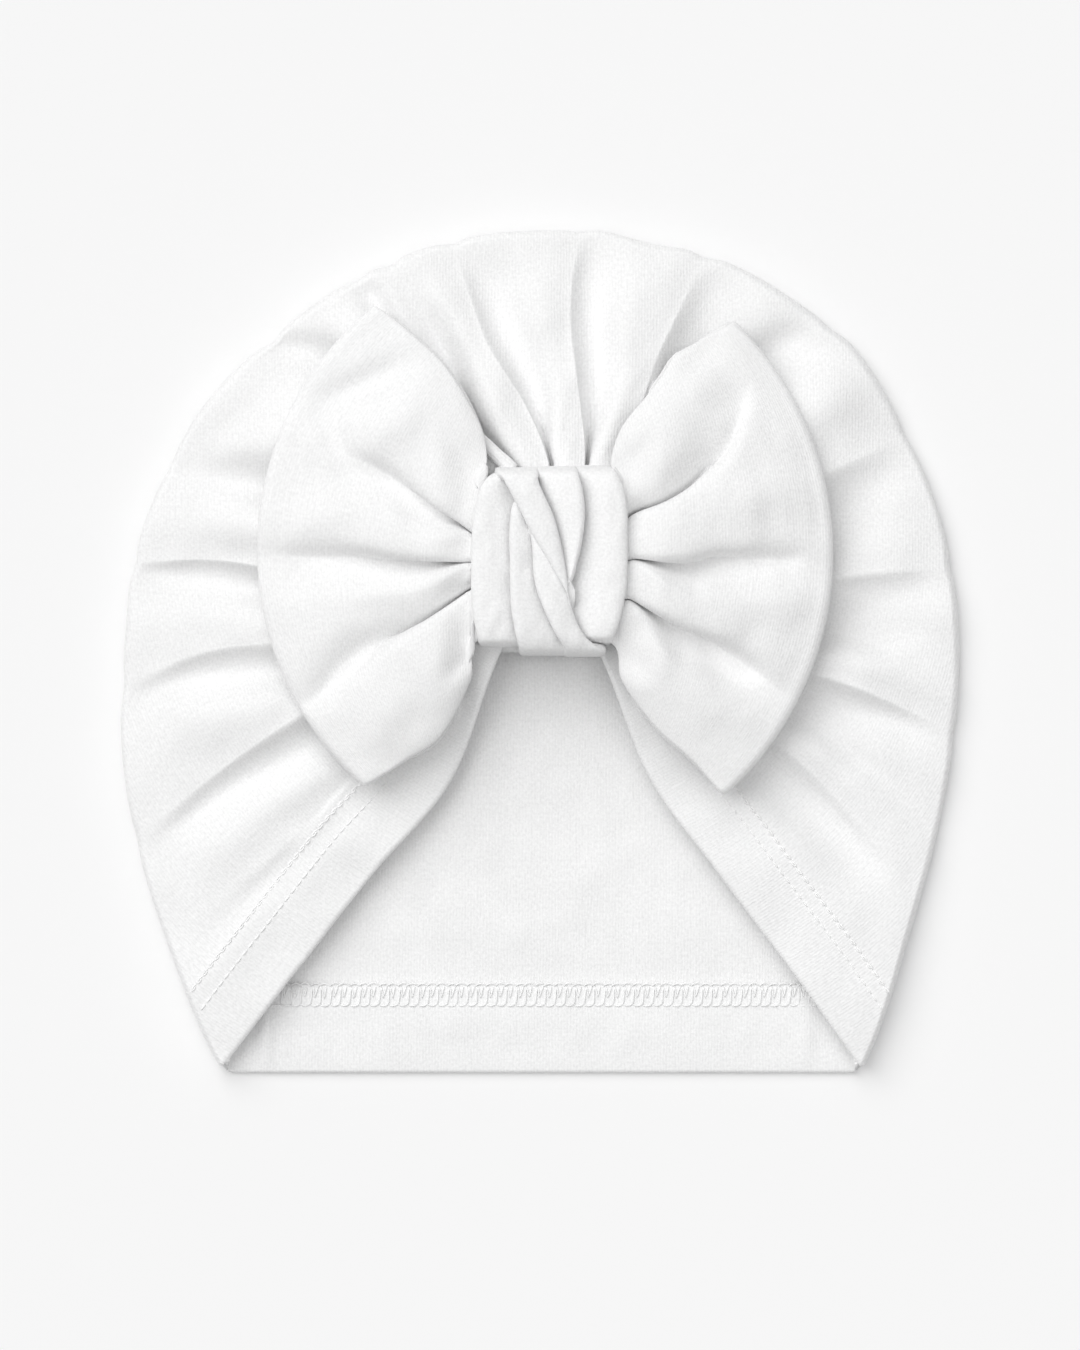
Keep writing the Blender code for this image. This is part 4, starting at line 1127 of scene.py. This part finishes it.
class Wire:
    """A socket in a material. Sums and products written with it add their Math nodes."""

    def __init__(self, tree, source):
        self.tree = tree
        self.source = source

    def node(self, kind, settings=None, inputs=None, output=0):
        """Add a node with its settings and its sockets' values or links."""
        made = self.tree.nodes.new(kind)
        for name, value in (settings or {}).items():
            setattr(made, name, value)
        for name, value in (inputs or {}).items():
            if isinstance(value, Wire):
                self.tree.links.new(value.source, made.inputs[name])
            else:
                made.inputs[name].default_value = value
        return Wire(self.tree, made.outputs[output])

    def other_output(self, number):
        """Another output of the node that this socket is on."""
        return Wire(self.tree, self.source.node.outputs[number])

    def math(self, operation, *values):
        return self.node("ShaderNodeMath", {"operation": operation}, dict(enumerate(values)))

    def sine(self):
        return self.math("SINE", self)

    def speckle(self, scale, detail, roughness):
        """Flat noise over the coordinates of this socket."""
        return self.node("ShaderNodeTexNoise", {"noise_dimensions": "2D"},
                         {"Vector": self, "Scale": scale, "Detail": detail,
                          "Roughness": roughness})

    def __add__(self, other):
        return self.math("ADD", self, other)

    def __radd__(self, other):
        return self.math("ADD", other, self)

    def __sub__(self, other):
        return self.math("SUBTRACT", self, other)

    def __rsub__(self, other):
        return self.math("SUBTRACT", other, self)

    def __mul__(self, other):
        return self.math("MULTIPLY", self, other)

    def __rmul__(self, other):
        return self.math("MULTIPLY", other, self)


def principled(name, colour, roughness):
    """A material with its shader, and a Wire that starts its nodes."""
    material = bpy.data.materials.new(name)
    material.use_nodes = True
    shader = material.node_tree.nodes["Principled BSDF"]
    shader.inputs["Base Color"].default_value = (*colour, 1.0)
    shader.inputs["Roughness"].default_value = roughness
    return material, shader, Wire(material.node_tree, None)


def set_bump(shader, height, strength, distance):
    """Make the height of a pattern stand up from the surface."""
    bump = height.node("ShaderNodeBump", None,
                       {"Strength": strength, "Distance": distance, "Height": height})
    bump.tree.links.new(bump.source, shader.inputs["Normal"])


def jersey(name, ribs=1.0):
    """White cotton jersey: fine ribs along the weave's second coordinate, with small courses
    across them, fuzz, a faint mottle and painted shade in the grooves between the ribs."""
    colour = bpy.context.scene.headwrap_colours.cloth
    material, shader, start = principled(name, colour, 0.88)
    shader.inputs["Sheen Weight"].default_value = 0.25
    shader.inputs["Sheen Roughness"].default_value = 0.45
    shader.inputs["Specular IOR Level"].default_value = 0.25
    weave = start.node("ShaderNodeUVMap", {"uv_map": "weave"})
    across = weave.node("ShaderNodeSeparateXYZ", None, {0: weave})
    along = across.other_output(1)
    fuzz = weave.speckle(150.0, 3.0, 0.65)
    wander = weave.speckle(22.0, 2.0, 0.5)
    mottle = weave.speckle(9.0, 4.0, 0.6)
    ribs_turn = across * (WEAVE_SIZE / RIB_SPACING * 2.0 * math.pi)
    rib = (ribs_turn + wander * 5.0 + fuzz * 1.6).sine()
    courses_turn = along * (WEAVE_SIZE / COURSE_SPACING * 2.0 * math.pi)
    course = (courses_turn + rib * 1.3).sine()
    set_bump(shader, rib * (0.12 * ribs) + course * 0.02 + fuzz * 0.9, 0.62, 0.0002)
    # The colour varies at random with the mottle and the fuzz. It is also painted darker in the
    # troughs between the ribs, where the rib bump is lowest: painted shade in the grooves.
    tone_and_rib_shade = (mottle - 0.5) * 0.06 + (fuzz - 0.5) * 0.26 + (rib - 1.0) * (0.016 * ribs) + 1.0
    # A colour mix has its factor in socket 0 and its two colours in sockets 6 and 7.
    tint = tone_and_rib_shade.node("ShaderNodeMix", {"data_type": "RGBA", "blend_type": "MULTIPLY"},
                      {0: 1.0, 6: (*colour, 1.0), 7: tone_and_rib_shade}, output=2)
    tint.tree.links.new(tint.source, shader.inputs["Base Color"])
    return material


def sewing_thread(name):
    """Soft spun cotton thread, with its twist as fine slanting bumps."""
    colour = bpy.context.scene.headwrap_colours.thread
    material, shader, start = principled(name, colour, 0.7)
    shader.inputs["Sheen Weight"].default_value = 0.2
    weave = start.node("ShaderNodeUVMap", {"uv_map": "weave"})
    around = weave.node("ShaderNodeSeparateXYZ", None, {0: weave})
    twist = ((around + around.other_output(1)) * (4.0 * math.pi)).sine()
    set_bump(shader, twist, 0.3, 0.00003)
    return material


def pale_table(name):
    """A smooth matt table, with a trace of grain."""
    colour = bpy.context.scene.headwrap_colours.table
    material, shader, start = principled(name, colour, 0.95)
    shader.inputs["Specular IOR Level"].default_value = 0.0
    # Output 3 is the object's own coordinates.
    place = start.node("ShaderNodeTexCoord", output=3)
    grain = place.node("ShaderNodeTexNoise", None,
                       {"Vector": place, "Scale": 90.0, "Detail": 2.0})
    set_bump(shader, grain, 0.02, 0.0002)
    return material


def lay_table(scene):
    """The plain table that everything lies on."""
    table = bmesh.new()
    bmesh.ops.create_grid(table, x_segments=1, y_segments=1, size=TABLE_HALF)
    mesh = bpy.data.meshes.new("table")
    table.to_mesh(mesh)
    table.free()
    mesh.materials.append(pale_table("table_white"))
    floor = bpy.data.objects.new("table", mesh)
    scene.collection.objects.link(floor)


def light_studio(scene):
    """A sky that is brightest straight above, and a wide window at the upper left."""
    world = bpy.data.worlds.new("studio")
    world.use_nodes = True
    background = world.node_tree.nodes["Background"]
    background.inputs["Color"].default_value = (1.0, 1.0, 1.0, 1.0)
    toward = Wire(world.node_tree, None).node("ShaderNodeTexCoord")
    height = toward.node("ShaderNodeSeparateXYZ", None, {0: toward}, output=2)
    strength = height * (SKY_ABOVE - SKY_AROUND) + SKY_AROUND
    world.node_tree.links.new(strength.source, background.inputs["Strength"])
    scene.world = world
    window = bpy.data.lights.new("window", "SUN")
    window.energy = WINDOW_STRENGTH
    window.angle = math.radians(WINDOW_ANGLE)
    light = bpy.data.objects.new("window", window)
    light.location = WINDOW_PLACE
    light.rotation_euler = (-Vector(WINDOW_PLACE)).to_track_quat("-Z", "Y").to_euler()
    scene.collection.objects.link(light)


def set_camera(scene):
    """A camera that looks straight down."""
    eye = bpy.data.cameras.new("camera")
    eye.lens = CAMERA_LENS
    eye.sensor_width = CAMERA_FILM
    eye.clip_end = 20.0
    eye.dof.use_dof = False
    camera = bpy.data.objects.new("camera", eye)
    camera.location = (0.0, CAMERA_Y, scene.headwrap_sizes.eye_height)
    scene.collection.objects.link(camera)
    scene.camera = camera
    scene.view_settings.view_transform = "Standard"


class HEADWRAP_OT_stage(bpy.types.Operator):
    """Add the table, the soft studio light and the camera straight above"""
    bl_idname = "headwrap.stage"
    bl_label = "Stage"

    def execute(self, context):
        lay_table(context.scene)
        light_studio(context.scene)
        set_camera(context.scene)
        return {"FINISHED"}


class HEADWRAP_OT_cap(bpy.types.Operator):
    """Add the cap: the gathered front with its turned-in hems and the back panel"""
    bl_idname = "headwrap.cap"
    bl_label = "Cap"

    def execute(self, context):
        sizes = context.scene.headwrap_sizes
        points, weave = front_net(sizes.rumple)
        front = cloth_piece("cap_front", points, weave, jersey("front_jersey"))
        add_wall(front, sizes.cloth)
        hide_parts("cap_shell", "brim_hem_left", "brim_hem_right")
        points, weave = back_net(sizes.rumple)
        back = cloth_piece("cap_back", points, weave, jersey("back_jersey"))
        add_wall(back, sizes.cloth)
        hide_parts("brim_hem_back")
        return {"FINISHED"}


class HEADWRAP_OT_bow(bpy.types.Operator):
    """Add the two loops of the bow"""
    bl_idname = "headwrap.bow"
    bl_label = "Bow"

    def execute(self, context):
        sizes = context.scene.headwrap_sizes
        for side in LOOPS:
            skin, weave = loop_skin(side, sizes.rumple)
            from_knot = np.abs(skin[:, :, 0]).mean(axis=1) - KNOT_HALF_WIDTH
            half = LOOP_HALF_CLOTH * mix(0.45, 1.0, ease(0.0, 9.0, from_knot))
            name = f"bow_{side}"
            piece = padded_piece(name, skin, weave, half[:, None], jersey(f"{name}_jersey"),
                                 flip=side == "right")
            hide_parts(f"bow_loop_{side}")
        return {"FINISHED"}


class HEADWRAP_OT_knot(bpy.types.Operator):
    """Add the turns of the knot's band"""
    bl_idname = "headwrap.knot"
    bl_label = "Knot"

    def execute(self, context):
        for order, (name, turn) in enumerate(TURNS.items()):
            skin, weave, half = turn_skin(turn, order)
            piece = padded_piece(name.replace("knot", "band"), skin, weave, half[:, None],
                                 jersey(f"{name}_jersey", 0.3))
            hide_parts(name)
        for name, strip in STRIPS.items():
            skin, weave = straight_skin(strip)
            piece = padded_piece(name.replace("knot", "band"), skin, weave, strip.half,
                                 jersey(f"{name}_jersey"))
            if name == "knot_inner_band":
                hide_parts(name)
        return {"FINISHED"}


class HEADWRAP_OT_stitches(bpy.types.Operator):
    """Add the rows of stitches along the hems"""
    bl_idname = "headwrap.stitches"
    bl_label = "Stitches"

    def execute(self, context):
        sizes = context.scene.headwrap_sizes
        pitch, radius = sizes.stitch_pitch / MM, sizes.thread / MM / 2.0
        material = sewing_thread("white_thread")
        for side, sign in (("left", -1.0), ("right", 1.0)):
            inner, outer = STITCH_ROWS[side]
            paths = hem_stitch_paths(f"{side}_edge", sign, inner, pitch, False)
            paths += hem_stitch_paths(f"{side}_edge", sign, outer, pitch, True)
            thread_piece(f"hem_stitches_{side}", paths, radius, material)
        thread_piece("cover_stitches", ladder_paths(pitch), radius * 0.85, material)
        return {"FINISHED"}


class HEADWRAP_PT_pieces(bpy.types.Panel):
    """The headwrap's pieces, in the 3D view's sidebar"""
    bl_idname = "HEADWRAP_PT_pieces"
    bl_label = "Headwrap"
    bl_space_type = "VIEW_3D"
    bl_region_type = "UI"
    bl_category = "Headwrap"

    def draw(self, context):
        layout = self.layout
        for group in (context.scene.headwrap_sizes, context.scene.headwrap_colours):
            for name in group.__annotations__:
                layout.prop(group, name)
        for operator in OPERATORS:
            layout.operator(operator.bl_idname)


OPERATORS = (HEADWRAP_OT_stage, HEADWRAP_OT_cap, HEADWRAP_OT_bow, HEADWRAP_OT_knot,
             HEADWRAP_OT_stitches)
CLASSES = (HeadwrapSizes, HeadwrapColours, *OPERATORS, HEADWRAP_PT_pieces)


def register():
    for cls in CLASSES:
        bpy.utils.register_class(cls)
    bpy.types.Scene.headwrap_sizes = PointerProperty(type=HeadwrapSizes)
    bpy.types.Scene.headwrap_colours = PointerProperty(type=HeadwrapColours)


def unregister():
    del bpy.types.Scene.headwrap_colours
    del bpy.types.Scene.headwrap_sizes
    for cls in reversed(CLASSES):
        bpy.utils.unregister_class(cls)


def main():
    register()
    bpy.ops.headwrap.stage()
    bpy.ops.headwrap.cap()
    bpy.ops.headwrap.bow()
    bpy.ops.headwrap.knot()
    bpy.ops.headwrap.stitches()


if __name__ == "__main__":
    main()
